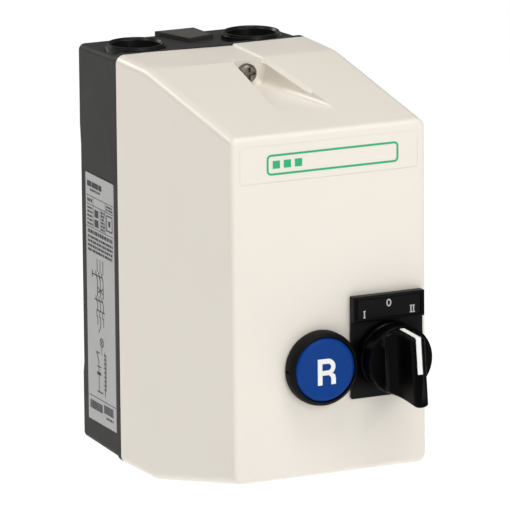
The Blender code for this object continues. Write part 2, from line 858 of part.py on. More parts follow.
def legend_strip(parent):
    """Plain printed strip that carries the position marks."""
    side, border = LEGEND_BORDER
    frame_y = -BODY_DEPTH - GAP - LEGEND_FRAME_T
    half_w = LEGEND_W / 2 - side - GAP
    low_z = LEGEND_TOP_Z - LEGEND_FRAME_H + border + GAP
    low = (SELECTOR_X - half_w, frame_y + 0.1, low_z)
    high = (SELECTOR_X + half_w, frame_y + 0.7, LEGEND_TOP_Z - border - GAP)
    box("legend_strip", low, high, black(), parent)


def selector_bezel(parent):
    """Ring that clamps the legend holder, with the sleeve that the shaft turns in."""
    back_y = -BODY_DEPTH - LEGEND_PLATE_T - 2 * GAP
    bore_r, ring_r, ring_t, sleeve_end_y = 5.4, 13.3, 4.5, -128.0
    profile = [
        (bore_r, back_y - ring_t),
        (ring_r - 0.9, back_y - ring_t),
        (ring_r, back_y - ring_t + 0.9),
        (ring_r, back_y),
        (SLEEVE_R, back_y),
        (SLEEVE_R, sleeve_end_y),
        (bore_r, sleeve_end_y),
    ]
    turned("selector_bezel", profile, 1, 32, black(), parent, (SELECTOR_X, SELECTOR_Z))


def selector_knob(parent):
    """Round disc with a full-width finger grip whose flanks are hollowed."""
    edge = 0.6
    profile = [
        (0.0, KNOB_BACK_Y),
        (KNOB_R - edge, KNOB_BACK_Y),
        (KNOB_R, KNOB_BACK_Y - edge),
        (KNOB_R, KNOB_FRONT_Y + edge),
        (KNOB_R - edge, KNOB_FRONT_Y),
        (0.0, KNOB_FRONT_Y),
    ]
    centre = (SELECTOR_X, SELECTOR_Z)
    knob = turned("selector_knob", profile, 1, 36, black(), parent, centre)
    combine(knob, "knob_grip", knob_grip(), "UNION")
    combine(knob, "knob_marker_groove", knob_marker_shape(GAP), "DIFFERENCE")


def grip_front_y(height):
    """The grip's front edge leans forward towards its lower end."""
    return GRIP_FRONT_Y - GRIP_LEAN * (GRIP_TOP[1] - height)


def between(pair, share):
    return pair[0] + (pair[1] - pair[0]) * share


def knob_grip():
    """Sections of the grip from inside the disc to its front edge, thinning as they go."""
    end_steps, end_round = 6, 0.45
    sections = []
    for share in (-0.3, 0.0, 0.12, 0.3, 0.55, 0.95, 1.0):
        flare = min(1.0, max(0.0, 1.0 - share / 0.55))
        edge = 0.5 if share == 1.0 else 0.0
        half_t = GRIP_HALF_T + GRIP_FLARE * flare ** 2.2 - edge
        depth = end_round * half_t
        outline = []
        for sign, end in ((1.0, between(GRIP_TOP, share)), (-1.0, between(GRIP_BOTTOM, share))):
            for step in range(end_steps + 1):
                angle = math.radians(180.0 * step / end_steps)
                x = sign * half_t * math.cos(angle)
                height = end - sign * (edge + depth - depth * math.sin(angle))
                y = between((KNOB_FRONT_Y, grip_front_y(height)), share)
                outline.append((SELECTOR_X + x, y, SELECTOR_Z + height))
        sections.append(outline)
    shape = bmesh.new()
    add_loft(shape, sections)
    return shape


def knob_marker_shape(clearance):
    """L-shaped pointer: along the grip's upper end, then down its front edge."""
    half_w = MARKER_HALF_W + clearance
    proud = 0.15 + clearance
    depth = proud + 1.0 + clearance
    tail_z = MARKER_TAIL_Z - clearance
    back_y = KNOB_FRONT_Y - 0.8 + clearance
    outline = [
        (back_y, GRIP_TOP[0] + proud),
        (grip_front_y(GRIP_TOP[1]) - proud, GRIP_TOP[1] + proud),
        (grip_front_y(tail_z) - proud, tail_z),
        (grip_front_y(tail_z) - proud + depth, tail_z),
        (grip_front_y(GRIP_TOP[1]) - proud + depth, GRIP_TOP[1] + proud - depth),
        (back_y, GRIP_TOP[0] + proud - depth),
    ]
    shape = bmesh.new()
    moved = [(y, SELECTOR_Z + height) for y, height in outline]
    add_prism(shape, moved, 0, SELECTOR_X - half_w, SELECTOR_X + half_w)
    return shape


def knob_marker(parent):
    add_object("knob_marker", knob_marker_shape(0.0), white(), parent)


def selector_shaft(parent):
    """Shaft from the knob to the notched cam disc behind the sleeve."""
    shaft_r, cam_r, front_y, cam_y, rear_y = 5.0, 8.6, KNOB_BACK_Y + GAP, -126.5, -122.0
    profile = [
        (0.0, front_y),
        (shaft_r, front_y),
        (shaft_r, cam_y),
        (cam_r, cam_y),
        (cam_r, rear_y),
        (0.0, rear_y),
    ]
    centre = (SELECTOR_X, SELECTOR_Z)
    shaft = turned("selector_shaft", profile, 1, 28, white(), parent, centre)
    notch_half_w, notch_depth = 1.6, 1.6
    low = (SELECTOR_X - notch_half_w, rear_y - notch_depth, SELECTOR_Z - cam_r - 1.0)
    notch = bmesh.new()
    add_box(notch, low, (SELECTOR_X + notch_half_w, rear_y + 2.0, SELECTOR_Z + cam_r + 1.0))
    combine(shaft, "selector_cam_notch", notch, "DIFFERENCE")


def selector_collar(parent):
    """Fixing block behind the panel; the sleeve screws into it and it carries the contacts."""
    left, right, half_h, rear_y = 8.2, 37.74, 19.5, -121.0
    low = (left, COVER_WALL - BODY_DEPTH + GAP, SELECTOR_Z - half_h)
    shape = bmesh.new()
    add_box(shape, low, (right, rear_y, SELECTOR_Z + half_h))
    collar = add_object("selector_collar", shape, zinc_steel(), parent)
    bore = bmesh.new()
    centre = (SELECTOR_X, SELECTOR_Z)
    add_cylinder(bore, PANEL_HOLE_R, 1, -BODY_DEPTH - 2.0, rear_y + 3.0, 40, centre)
    combine(collar, "selector_collar_bore", bore, "DIFFERENCE")


def contact_block(side, parent):
    """Contact block with a guide hole for its plunger and two terminal wells."""
    centre_x = CAM_CONTACT_X[side]
    half_w, half_h, front_y, rear_y = 7.35, 19.0, -120.7, -98.0
    shape = bmesh.new()
    low = (centre_x - half_w, front_y, SELECTOR_Z - half_h)
    add_box(shape, low, (centre_x + half_w, rear_y, SELECTOR_Z + half_h))
    block = add_object(f"contact_block_{side}", shape, black(), parent)
    cuts = bmesh.new()
    guide_half_w, guide_half_h, guide_end_y = 2.2, 3.0, -101.0
    low = (centre_x - guide_half_w, front_y - 3.0, SELECTOR_Z - guide_half_h)
    add_box(cuts, low, (centre_x + guide_half_w, guide_end_y, SELECTOR_Z + guide_half_h))
    for well_z in (-14.0, 14.0):
        centre = (centre_x, SELECTOR_Z + well_z)
        add_cylinder(cuts, 2.6, 1, rear_y - 5.0, rear_y + 2.0, 14, centre)
    combine(block, f"contact_block_{side}_openings", cuts, "DIFFERENCE")


def contact_plunger(side, parent):
    """Square plunger that the cam disc pushes into its contact block."""
    centre_x = CAM_CONTACT_X[side]
    half_w, half_h, front_y, rear_y = 1.9, 2.7, -121.7, -110.0
    low = (centre_x - half_w, front_y, SELECTOR_Z - half_h)
    high = (centre_x + half_w, rear_y, SELECTOR_Z + half_h)
    box(f"contact_plunger_{side}", low, high, white(), parent)


def contact_spring(side, parent):
    centre = (CAM_CONTACT_X[side], SELECTOR_Z)
    spring(f"contact_spring_{side}", 1.5, 0.2, -109.4, -101.6, 4, parent, centre)


# ---------------------------------------------------------------- switchgear inside


def din_rail(parent):
    """Top-hat rail on two posts, with a hole for each fixing screw."""
    back_y, depth, wall = RAIL_BACK_Y, 7.5, 1.0
    web, flange, half_length, hole_r = 12.5, RAIL_H / 2, 36.5, 1.9
    outline = [
        (back_y, -web), (back_y, web), (back_y - depth + wall, web),
        (back_y - depth + wall, flange), (back_y - depth, flange),
        (back_y - depth, web - wall), (back_y - wall, web - wall),
        (back_y - wall, wall - web), (back_y - depth, wall - web),
        (back_y - depth, -flange), (back_y - depth + wall, -flange),
        (back_y - depth + wall, -web),
    ]
    shape = bmesh.new()
    add_prism(shape, [(y, RAIL_Z + z) for y, z in outline], 0, -half_length, half_length)
    rail = add_object("din_rail", shape, zinc_steel(), parent)
    holes = bmesh.new()
    for x in RAIL_POSTS_X:
        add_cylinder(holes, hole_r, 1, back_y - 3.0, back_y + 2.0, 14, (x, RAIL_Z))
    combine(rail, "din_rail_holes", holes, "DIFFERENCE")


def rail_screw(side, x, parent):
    head_r, shank_r, face_y, tip_y = 3.0, 1.5, RAIL_BACK_Y - 3.7, -4.6
    profile = [
        (0.0, face_y),
        (head_r - 0.6, face_y),
        (head_r, face_y + 0.8),
        (head_r, face_y + 2.4),
        (shank_r, face_y + 2.4),
        (shank_r, tip_y),
        (0.0, tip_y),
    ]
    screw = turned(f"rail_screw_{side}", profile, 1, 16, zinc_steel(), parent, (x, RAIL_Z))
    recess = cross_recess(1.2, 1.7, face_y, (x, RAIL_Z))
    combine(screw, f"rail_screw_{side}_recess", recess, "DIFFERENCE")


def contactor_base(side, centre_x, parent):
    """Rear half of a contactor: rail slot behind, magnet chamber open to the front."""
    back_y, slot_y, front_y = -10.0, -17.1, CONTACTOR_SPLIT_Y + GAP / 2
    slot_low, slot_high = RAIL_Z - RAIL_H / 2 - GAP, RAIL_Z + RAIL_H / 2 + GAP
    outline = [
        (back_y, CONTACTOR_LOW_Z), (back_y, slot_low), (slot_y, slot_low),
        (slot_y, slot_high), (back_y, slot_high), (back_y, CONTACTOR_HIGH_Z),
        (front_y, CONTACTOR_HIGH_Z), (front_y, CONTACTOR_LOW_Z),
    ]
    half_w = CONTACTOR_W / 2
    shape = bmesh.new()
    add_prism(shape, outline, 0, centre_x - half_w, centre_x + half_w)
    body = add_object(f"contactor_{side}_base", shape, charcoal(), parent)
    chamber = bmesh.new()
    chamber_half_w, chamber_half_h, chamber_y = 14.0, 15.0, -20.0
    low = (centre_x - chamber_half_w, front_y - 3.0, RAIL_Z - chamber_half_h)
    add_box(chamber, low, (centre_x + chamber_half_w, chamber_y, RAIL_Z + chamber_half_h))
    combine(body, f"contactor_{side}_chamber", chamber, "DIFFERENCE")


def contactor_cap(side, centre_x, parent):
    """Front half of a contactor: stepped terminals and a nose with a carrier window."""
    back_y, step_y, middle_y = CONTACTOR_SPLIT_Y - GAP / 2, CONTACTOR_STEP_Y, -66.0
    middle_half, nose_half = 20.0, 11.0
    outline = [
        (back_y, CONTACTOR_LOW_Z), (step_y, CONTACTOR_LOW_Z), (step_y, RAIL_Z - middle_half),
        (middle_y, RAIL_Z - middle_half), (middle_y, RAIL_Z - nose_half),
        (CONTACTOR_NOSE_Y, RAIL_Z - nose_half), (CONTACTOR_NOSE_Y, RAIL_Z + nose_half),
        (middle_y, RAIL_Z + nose_half), (middle_y, RAIL_Z + middle_half),
        (step_y, RAIL_Z + middle_half), (step_y, CONTACTOR_HIGH_Z), (back_y, CONTACTOR_HIGH_Z),
    ]
    half_w = CONTACTOR_W / 2
    shape = bmesh.new()
    add_prism(shape, outline, 0, centre_x - half_w, centre_x + half_w)
    cap = add_object(f"contactor_{side}_cap", shape, charcoal(), parent)
    cuts = bmesh.new()
    inside_half, inside_y, behind_y = 14.0, -62.0, -44.0
    low = (centre_x - inside_half, inside_y, RAIL_Z - inside_half)
    add_box(cuts, low, (centre_x + inside_half, behind_y, RAIL_Z + inside_half))
    combine(cap, f"contactor_{side}_inside", cuts, "DIFFERENCE")
    wells = bmesh.new()
    window_half_w, window_half_h, well_r, well_depth = 5.0, 6.0, 2.7, 5.0
    low = (centre_x - window_half_w, CONTACTOR_NOSE_Y - 3.0, RAIL_Z - window_half_h)
    add_box(wells, low, (centre_x + window_half_w, inside_y + 2.0, RAIL_Z + window_half_h))
    for pole in range(4):
        x = centre_x + (pole - 1.5) * POLE_PITCH
        for z in (CONTACTOR_LOW_Z + 5.5, CONTACTOR_HIGH_Z - 5.5):
            add_cylinder(wells, well_r, 1, step_y - 2.0, step_y + well_depth, 14, (x, z))
    combine(cap, f"contactor_{side}_wells", wells, "DIFFERENCE")


def contactor_core(side, centre_x, parent):
    """Fixed E-shaped magnet core standing on the chamber floor."""
    back_y, yoke_y, pole_y = -20.3, -24.2, -42.4
    outer, inner, middle = 13.4, 10.2, 4.0
    outline = [
        (back_y, -outer), (pole_y, -outer), (pole_y, -inner), (yoke_y, -inner),
        (yoke_y, -middle), (pole_y, -middle), (pole_y, middle), (yoke_y, middle),
        (yoke_y, inner), (pole_y, inner), (pole_y, outer), (back_y, outer),
    ]
    shape = bmesh.new()
    moved = [(y, RAIL_Z + z) for y, z in outline]
    add_prism(shape, moved, 0, centre_x - middle, centre_x + middle)
    add_object(f"contactor_{side}_core", shape, zinc_steel(), parent)


def contactor_coil(side, centre_x, parent):
    profile = ring_profile(6.1, 9.8, -39.6, -24.6)
    turned(f"contactor_{side}_coil", profile, 1, 24, copper(), parent, (centre_x, RAIL_Z))


def contactor_spring(side, centre_x, parent):
    spring(f"contactor_{side}_spring", 8.2, 0.35, -45.2, -40.4, 2, parent, (centre_x, RAIL_Z))


def contactor_carrier(side, centre_x, parent):
    """Moving contact carrier with the armature behind it and a flag in the nose window."""
    body_half, front_y, rear_y = 12.6, -60.4, -46.0
    flag_half_w, flag_half_h, flag_y = 4.6, 5.6, -74.2
    waist_y, waist_half, past_side = (-56.5, -50.5), 5.0, 20.0
    shape = bmesh.new()
    low = (centre_x - body_half, front_y, RAIL_Z - body_half)
    add_box(shape, low, (centre_x + body_half, rear_y, RAIL_Z + body_half))
    carrier = add_object(f"contactor_{side}_carrier", shape, light_grey(), parent)
    flag = bmesh.new()
    low = (centre_x - flag_half_w, flag_y, RAIL_Z - flag_half_h)
    add_box(flag, low, (centre_x + flag_half_w, front_y + 2.4, RAIL_Z + flag_half_h))
    combine(carrier, f"contactor_{side}_flag", flag, "UNION")
    waist = bmesh.new()
    for low_z, high_z in ((waist_half, past_side), (-past_side, -waist_half)):
        low = (centre_x - past_side, waist_y[0], RAIL_Z + low_z)
        add_box(waist, low, (centre_x + past_side, waist_y[1], RAIL_Z + high_z))
    combine(carrier, f"contactor_{side}_waist", waist, "DIFFERENCE")


def relay_housing(parent):
    """Thermal overload relay: stepped body with terminal wells, dial recess and reset hole."""
    half_w = RELAY_W / 2
    back_y, low_step_y, front_y = -10.0, -54.0, -72.0
    low_z, shelf_z, brow_z, high_z = -57.0, -46.0, -18.6, -13.0
    outline = [
        (back_y, low_z), (low_step_y, low_z), (low_step_y, shelf_z), (front_y, shelf_z),
        (front_y, brow_z), (CONTACTOR_STEP_Y, brow_z), (CONTACTOR_STEP_Y, high_z), (back_y, high_z),
    ]
    shape = bmesh.new()
    add_prism(shape, outline, 0, RESET_X - half_w, RESET_X + half_w)
    housing = add_object("overload_relay_housing", shape, charcoal(), parent)
    cuts = bmesh.new()
    plunger_hole_r, dial_recess_r, well_r, in_front_y = 2.9, 5.6, 2.7, front_y - 3.0
    add_cylinder(cuts, plunger_hole_r, 1, in_front_y, -58.0, 20, (RESET_X, RESET_Z))
    dial_centre = (RELAY_DIAL_X, RELAY_DIAL_Z)
    add_cylinder(cuts, dial_recess_r, 1, in_front_y, front_y + 2.0, 24, dial_centre)
    for pole in range(5):
        centre = (RESET_X + (pole - 2.0) * POLE_PITCH, (low_z + shelf_z) / 2)
        add_cylinder(cuts, well_r, 1, low_step_y - 2.0, low_step_y + 5.0, 14, centre)
    window_low = (RESET_X + 2.0, in_front_y, RELAY_DIAL_Z - 3.0)
    add_box(cuts, window_low, (RESET_X + 17.0, front_y + 1.0, RELAY_DIAL_Z + 3.0))
    combine(housing, "overload_relay_openings", cuts, "DIFFERENCE")


def relay_dial(parent):
    """Current setting dial with a screwdriver slot."""
    radius, face_y, rear_y = 5.1, -72.6, -70.3
    profile = [
        (0.0, face_y),
        (radius - 0.7, face_y),
        (radius, face_y + 0.6),
        (radius, rear_y),
        (0.0, rear_y),
    ]
    centre = (RELAY_DIAL_X, RELAY_DIAL_Z)
    dial = turned("overload_relay_dial", profile, 1, 24, white(), parent, centre)
    slot = bmesh.new()
    half_w, half_h = 0.6, 3.4
    low = (RELAY_DIAL_X - half_w, face_y - 2.0, RELAY_DIAL_Z - half_h)
    add_box(slot, low, (RELAY_DIAL_X + half_w, face_y + 1.0, RELAY_DIAL_Z + half_h))
    combine(dial, "overload_relay_dial_slot", slot, "DIFFERENCE")


def relay_plunger(parent):
    """The relay's own reset plunger, which the cover's push rod meets."""
    radius, face_y, rear_y = 2.55, -76.3, -64.5
    profile = [
        (0.0, face_y),
        (radius - 0.5, face_y),
        (radius, face_y + 0.5),
        (radius, rear_y),
        (0.0, rear_y),
    ]
    turned("overload_relay_plunger", profile, 1, 20, blue(), parent, (RESET_X, RESET_Z))


def relay_spring(parent):
    spring("overload_relay_spring", 1.9, 0.25, -64.0, -58.5, 3, parent, (RESET_X, RESET_Z))


def power_link(index, parent):
    """Copper link from a contactor pole down to the relay, bearing on both front steps."""
    x = CONTACTOR_CENTRES["left"] + (index - 1.5) * POLE_PITCH
    front_y, thickness, half_w, low_z, high_z = CONTACTOR_STEP_Y - GAP, 1.2, 2.4, -17.8, -1.5
    low = (x - half_w, front_y - thickness, low_z)
    box(f"power_link_{index}", low, (x + half_w, front_y, high_z), copper(), parent)


def terminal_x(pole):
    return TERMINAL_FIRST_X + TERMINAL_PITCH * pole


def terminal_block(parent):
    """Insulated block with a well for each terminal screw."""
    front_y, rear_y, half_h, side_w = -22.0, -3.8, 6.0, 5.0
    left, right = terminal_x(0) - side_w, terminal_x(TERMINALS - 1) + side_w + 0.1
    shape = bmesh.new()
    low = (left, front_y, TERMINAL_ROW_Z - half_h)
    add_box(shape, low, (right, rear_y, TERMINAL_ROW_Z + half_h))
    block = add_object("terminal_block", shape, light_grey(), parent)
    wells = bmesh.new()
    for pole in range(TERMINALS):
        centre = (terminal_x(pole), TERMINAL_ROW_Z)
        add_cylinder(wells, 2.7, 1, front_y - 2.0, front_y + 10.0, 14, centre)
    combine(block, "terminal_block_wells", wells, "DIFFERENCE")


def terminal_screw(pole, parent):
    radius, face_y, rear_y = 2.3, -20.6, -12.4
    profile = [
        (0.0, face_y),
        (radius - 0.3, face_y),
        (radius, face_y + 0.4),
        (radius, rear_y),
        (0.0, rear_y),
    ]
    x = terminal_x(pole)
    name = f"terminal_screw_{pole + 1}"
    screw = turned(name, profile, 1, 14, zinc_steel(), parent, (x, TERMINAL_ROW_Z))
    slot = bmesh.new()
    half_length, half_w = 3.0, 0.4
    low = (x - half_length, face_y - 1.4, TERMINAL_ROW_Z - half_w)
    add_box(slot, low, (x + half_length, face_y + 0.8, TERMINAL_ROW_Z + half_w))
    combine(screw, f"{name}_slot", slot, "DIFFERENCE")


def earth_terminal(parent):
    half_w, half_h, front_y, rear_y, hole_r = 8.0, 5.0, -15.0, -3.8, 2.2
    shape = bmesh.new()
    low = (EARTH_X - half_w, front_y, EARTH_Z - half_h)
    add_box(shape, low, (EARTH_X + half_w, rear_y, EARTH_Z + half_h))
    terminal = add_object("earth_terminal", shape, brass(), parent)
    hole = bmesh.new()
    add_cylinder(hole, hole_r, 1, front_y - 3.0, -6.0, 16, (EARTH_X, EARTH_Z))
    combine(terminal, "earth_terminal_hole", hole, "DIFFERENCE")


def earth_screw(parent):
    head_r, shank_r, face_y, seat_y, tip_y = 3.9, 1.9, -18.3, -15.3, -7.0
    profile = [
        (0.0, face_y),
        (head_r - 0.7, face_y),
        (head_r, face_y + 0.9),
        (head_r, seat_y),
        (shank_r, seat_y),
        (shank_r, tip_y),
        (0.0, tip_y),
    ]
    centre = (EARTH_X, EARTH_Z)
    screw = turned("earth_screw", profile, 1, 20, zinc_steel(), parent, centre)
    combine(screw, "earth_screw_recess", cross_recess(1.3, 2.2, face_y, centre), "DIFFERENCE")


def build_base(base):
    rear_base(base)
    cover_gasket(base)
    entry_plugs(base)
    side_label(base)
    threaded_insert(base)


def build_cover(cover):
    front_cover(cover)
    name_plate(cover)
    screw_retainer(cover)
    cover_screw(pivot("cover_screw_axis", (SCREW_X, POCKET_BACK_Y, SCREW_Z), cover))


def build_controls(cover):
    reset_bezel(cover)
    reset_nut(cover)
    reset_spring(cover)
    reset_axis = pivot("reset_axis", (RESET_X, -BODY_DEPTH, RESET_Z), cover)
    reset_cap(reset_axis)
    reset_rod(reset_axis)
    legend_holder(cover)
    legend_strip(cover)
    selector_bezel(cover)
    selector_collar(cover)
    selector_axis = pivot("selector_axis", (SELECTOR_X, -BODY_DEPTH, SELECTOR_Z), cover)
    selector_knob(selector_axis)
    knob_marker(selector_axis)
    selector_shaft(selector_axis)
    for side, x in CAM_CONTACT_X.items():
        contact_block(side, cover)
        contact_spring(side, cover)
        contact_plunger(side, pivot(f"plunger_{side}_axis", (x, -BODY_DEPTH, SELECTOR_Z), cover))


def build_contactor(side, centre_x, base):
    contactor_base(side, centre_x, base)
    contactor_cap(side, centre_x, base)
    contactor_core(side, centre_x, base)
    contactor_coil(side, centre_x, base)
    contactor_spring(side, centre_x, base)
    axis = pivot(f"armature_{side}_axis", (centre_x, CONTACTOR_SPLIT_Y, RAIL_Z), base)
    contactor_carrier(side, centre_x, axis)


def build_switchgear(base):
    din_rail(base)
    for side, x in zip(("left", "right"), RAIL_POSTS_X):
        rail_screw(side, x, base)
    for side, centre_x in CONTACTOR_CENTRES.items():
        build_contactor(side, centre_x, base)
    relay_housing(base)
    relay_spring(base)
    relay_dial(pivot("relay_dial_axis", (RELAY_DIAL_X, CONTACTOR_NOSE_Y, RELAY_DIAL_Z), base))
    relay_plunger(pivot("relay_plunger_axis", (RESET_X, CONTACTOR_NOSE_Y, RESET_Z), base))
    for index in (1, 2, 3):
        power_link(index, base)
    terminal_block(base)
    for pole in range(TERMINALS):
        terminal_screw(pole, base)
    earth_terminal(base)
    earth_screw(base)


def main():
    clear_scene()
    base = pivot("base_assembly", (0.0, 0.0, 0.0))
    cover = pivot("cover_assembly", (0.0, 0.0, 0.0), base)
    build_base(base)
    build_cover(cover)
    build_controls(cover)
    build_switchgear(base)


main()
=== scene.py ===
"""Looks of the enclosed motor starter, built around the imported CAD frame.

Lengths in this script are millimetres unless a name says otherwise; finish_mesh() scales
them to metres. The front of the case faces -Y and +Z is up.
"""

import math
import random

import bmesh
import bpy
from mathutils import Matrix, Vector


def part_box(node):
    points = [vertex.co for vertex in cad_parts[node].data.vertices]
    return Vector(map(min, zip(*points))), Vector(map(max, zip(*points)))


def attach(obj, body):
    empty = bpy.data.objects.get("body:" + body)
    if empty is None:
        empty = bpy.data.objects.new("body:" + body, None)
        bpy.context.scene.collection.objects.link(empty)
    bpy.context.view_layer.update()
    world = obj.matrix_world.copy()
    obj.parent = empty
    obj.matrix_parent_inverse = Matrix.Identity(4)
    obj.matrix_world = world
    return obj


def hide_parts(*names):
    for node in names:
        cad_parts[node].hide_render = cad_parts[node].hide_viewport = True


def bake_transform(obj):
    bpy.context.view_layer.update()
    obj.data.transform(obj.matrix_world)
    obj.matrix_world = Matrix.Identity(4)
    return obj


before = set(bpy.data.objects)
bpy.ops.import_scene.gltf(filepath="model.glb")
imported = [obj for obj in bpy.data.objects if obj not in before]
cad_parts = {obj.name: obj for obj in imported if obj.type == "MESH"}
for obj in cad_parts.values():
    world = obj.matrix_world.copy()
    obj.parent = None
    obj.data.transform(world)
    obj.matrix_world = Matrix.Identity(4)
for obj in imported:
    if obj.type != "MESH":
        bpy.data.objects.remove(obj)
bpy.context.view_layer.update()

MM = 0.001


def box_mm(node):
    """Lowest and highest corner of a CAD node at rest, in millimetres."""
    low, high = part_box(node)
    return Vector(low) / MM, Vector(high) / MM


def centre_xz(node):
    low, high = box_mm(node)
    return (low.x + high.x) / 2, (low.z + high.z) / 2


# ---- sizes read from the frame

COVER_LOW, COVER_HIGH = box_mm("front_cover")
TONGUE_Y = box_mm("rear_base")[0].y
FRONT_Y = COVER_LOW.y
CASE_HALF_W = COVER_HIGH.x
CASE_HALF_H = COVER_HIGH.z
RESET_AXIS = RESET_X, RESET_Z = centre_xz("reset_bezel")
SELECTOR_AXIS = SELECTOR_X, SELECTOR_Z = centre_xz("selector_bezel")
SCREW_AXIS = SCREW_X, SCREW_Z = centre_xz("cover_screw")

# Shape of the case, as the CAD has it
SEAM_Y, COVER_REAR_Y = -39.1, -39.4
WALL = 2.5
COVER_FRONT_HALF_W = 40.55
CORNER_R, INNER_CORNER_R = 3.4, 0.9
FRONT_EDGE_R = 2.2
RIDGE_Y, RIDGE_DROP = -65.6, 0.4
CHAMFER_Y, CHAMFER_RISE = -69.0, 0.35
KINK_BLEND = 2.0
FRONT_TOP_Z, FRONT_BOTTOM_Z = 67.95, -65.7
POCKET_BACK_Y, POCKET_FRONT_Y, POCKET_FLOOR_Z = -67.3, -132.0, 70.75
POCKET_LEFT_X, POCKET_RIGHT_X = -5.0, 8.0
POCKET_LEFT_SPREAD, POCKET_RIGHT_SPREAD = 0.112, 0.076
POCKET_FILLET = 2.6
CHANNEL_LEFT_X, CHANNEL_DEPTH = -26.0, 0.7
LIP_DEPTH = 1.4
CONTROL_HOLE_R = 11.1
SCREW_HOLE_R = 1.95

# The name plate and its seat: half width, lowest z, highest z, corner radius
NAME_SEAT = (37.1, 49.85, 64.1, 1.5)
NAME_PLATE = (37.04, 50.0, 64.04, 1.45)

# Mesh fineness
CORNER_STEPS, SMALL_CORNER_STEPS = 8, 6
SHARP_DEG = 35.0

# How far cutting tools run past what they cut
CLEAR = 2.0
SKY_Z = 95.0


# ---- shape helpers


def place(axis, along, first, second):
    """A point from its distance along one axis and its two other coordinates."""
    point = [first, second]
    point.insert(axis, along)
    return point


def bridge(shape, ring_a, ring_b):
    """Faces between two rings of vertices; a ring of one vertex is a pole."""
    count = max(len(ring_a), len(ring_b))
    for index in range(count):
        corners = []
        for ring, order in ((ring_a, (index - 1, index)), (ring_b, (index, index - 1))):
            corners.extend(ring if len(ring) == 1 else [ring[order[0]], ring[order[1]]])
        shape.faces.new(corners)


def add_loft(shape, sections, ring=False):
    """A skin through sections with equal point counts, capped or closed into a ring."""
    rings = [[shape.verts.new(point) for point in section] for section in sections]
    for ring_a, ring_b in zip(rings, rings[1:]):
        bridge(shape, ring_a, ring_b)
    if ring:
        bridge(shape, rings[-1], rings[0])
    else:
        shape.faces.new(rings[0])
        shape.faces.new(rings[-1])


def add_prism(shape, outline, axis, start, end):
    """A flat outline pushed along one axis."""
    add_loft(shape, [[place(axis, along, *pair) for pair in outline] for along in (start, end)])


def add_box(shape, low, high):
    """An axis-aligned box between two corners."""
    outline = [(low[1], low[2]), (high[1], low[2]), (high[1], high[2]), (low[1], high[2])]
    add_prism(shape, outline, 0, low[0], high[0])


def add_turned(shape, profile, axis, segments, centre=(0.0, 0.0)):
    """A (radius, distance) profile turned about an axis; solid if it starts on the axis."""
    rings = []
    for radius, along in profile:
        count = segments if radius > 0.0 else 1
        ring = []
        for step in range(count):
            angle = math.tau * step / segments
            first = centre[0] + radius * math.cos(angle)
            second = centre[1] + radius * math.sin(angle)
            ring.append(shape.verts.new(place(axis, along, first, second)))
        rings.append(ring)
    for ring_a, ring_b in zip(rings, rings[1:]):
        bridge(shape, ring_a, ring_b)
    if profile[0][0] > 0.0:
        bridge(shape, rings[-1], rings[0])


def add_cylinder(shape, radius, axis, start, end, segments, centre=(0.0, 0.0)):
    profile = [(0.0, start), (radius, start), (radius, end), (0.0, end)]
    add_turned(shape, profile, axis, segments, centre)


def new_shape(add, *values, **options):
    """A shape made by one of the functions above."""
    shape = bmesh.new()
    add(shape, *values, **options)
    return shape


def rounded_rectangle(half_w, low_z, high_z, radius, y, steps=CORNER_STEPS):
    """Points of a rounded rectangle in the XZ plane."""
    points = []
    corners = (
        (half_w - radius, high_z - radius, 0.0),
        (radius - half_w, high_z - radius, 90.0),
        (radius - half_w, low_z + radius, 180.0),
        (half_w - radius, low_z + radius, 270.0),
    )
    for centre_x, centre_z, start in corners:
        for step in range(steps + 1):
            angle = math.radians(start + 90.0 * step / steps)
            x = centre_x + radius * math.cos(angle)
            points.append((x, y, centre_z + radius * math.sin(angle)))
    return points


def rounded_profile(points, radius, steps=4):
    """A (radius, distance) profile with each inner corner rounded by a small arc."""
    most = 0.45
    rounded = [points[0]]
    for before, corner, after in zip(points, points[1:], points[2:]):
        corner = Vector(corner)
        back, ahead = Vector(before) - corner, Vector(after) - corner
        reach = min(radius, most * back.length, most * ahead.length)
        start, end = corner + back.normalized() * reach, corner + ahead.normalized() * reach
        for step in range(steps + 1):
            t = step / steps
            rounded.append(tuple(start * (1 - t) ** 2 + corner * 2 * t * (1 - t) + end * t ** 2))
    rounded.append(points[-1])
    return rounded


def finish_mesh(name, shape, finish):
    """Close a shape in millimetres into a smooth-shaded object in metres."""
    bmesh.ops.recalc_face_normals(shape, faces=shape.faces)
    bmesh.ops.transform(shape, matrix=Matrix.Scale(MM, 4), verts=shape.verts)
    mesh = bpy.data.meshes.new(name)
    shape.to_mesh(mesh)
    shape.free()
    mesh.shade_smooth()
    mesh.set_sharp_from_angle(angle=math.radians(SHARP_DEG))
    if finish:
        mesh.materials.append(finish)
    made = bpy.data.objects.new(name, mesh)
    bpy.context.scene.collection.objects.link(made)
    return made


def combine(target, name, shape, operation):
    """Boolean with a tool shape that is applied and removed afterwards."""
    tool = finish_mesh(name, shape, None)
    modifier = target.modifiers.new(name, "BOOLEAN")
    modifier.operation = operation
    modifier.object = tool
    modifier.solver = "EXACT"
    apply_modifiers(target)
    bpy.data.objects.remove(tool, do_unlink=True)


def apply_modifiers(target):
    """Replace the object's mesh by its evaluated mesh."""
    graph = bpy.context.evaluated_depsgraph_get()
    made = bpy.data.meshes.new_from_object(target.evaluated_get(graph))
    old = target.data
    target.modifiers.clear()
    target.data = made
    bpy.data.meshes.remove(old)


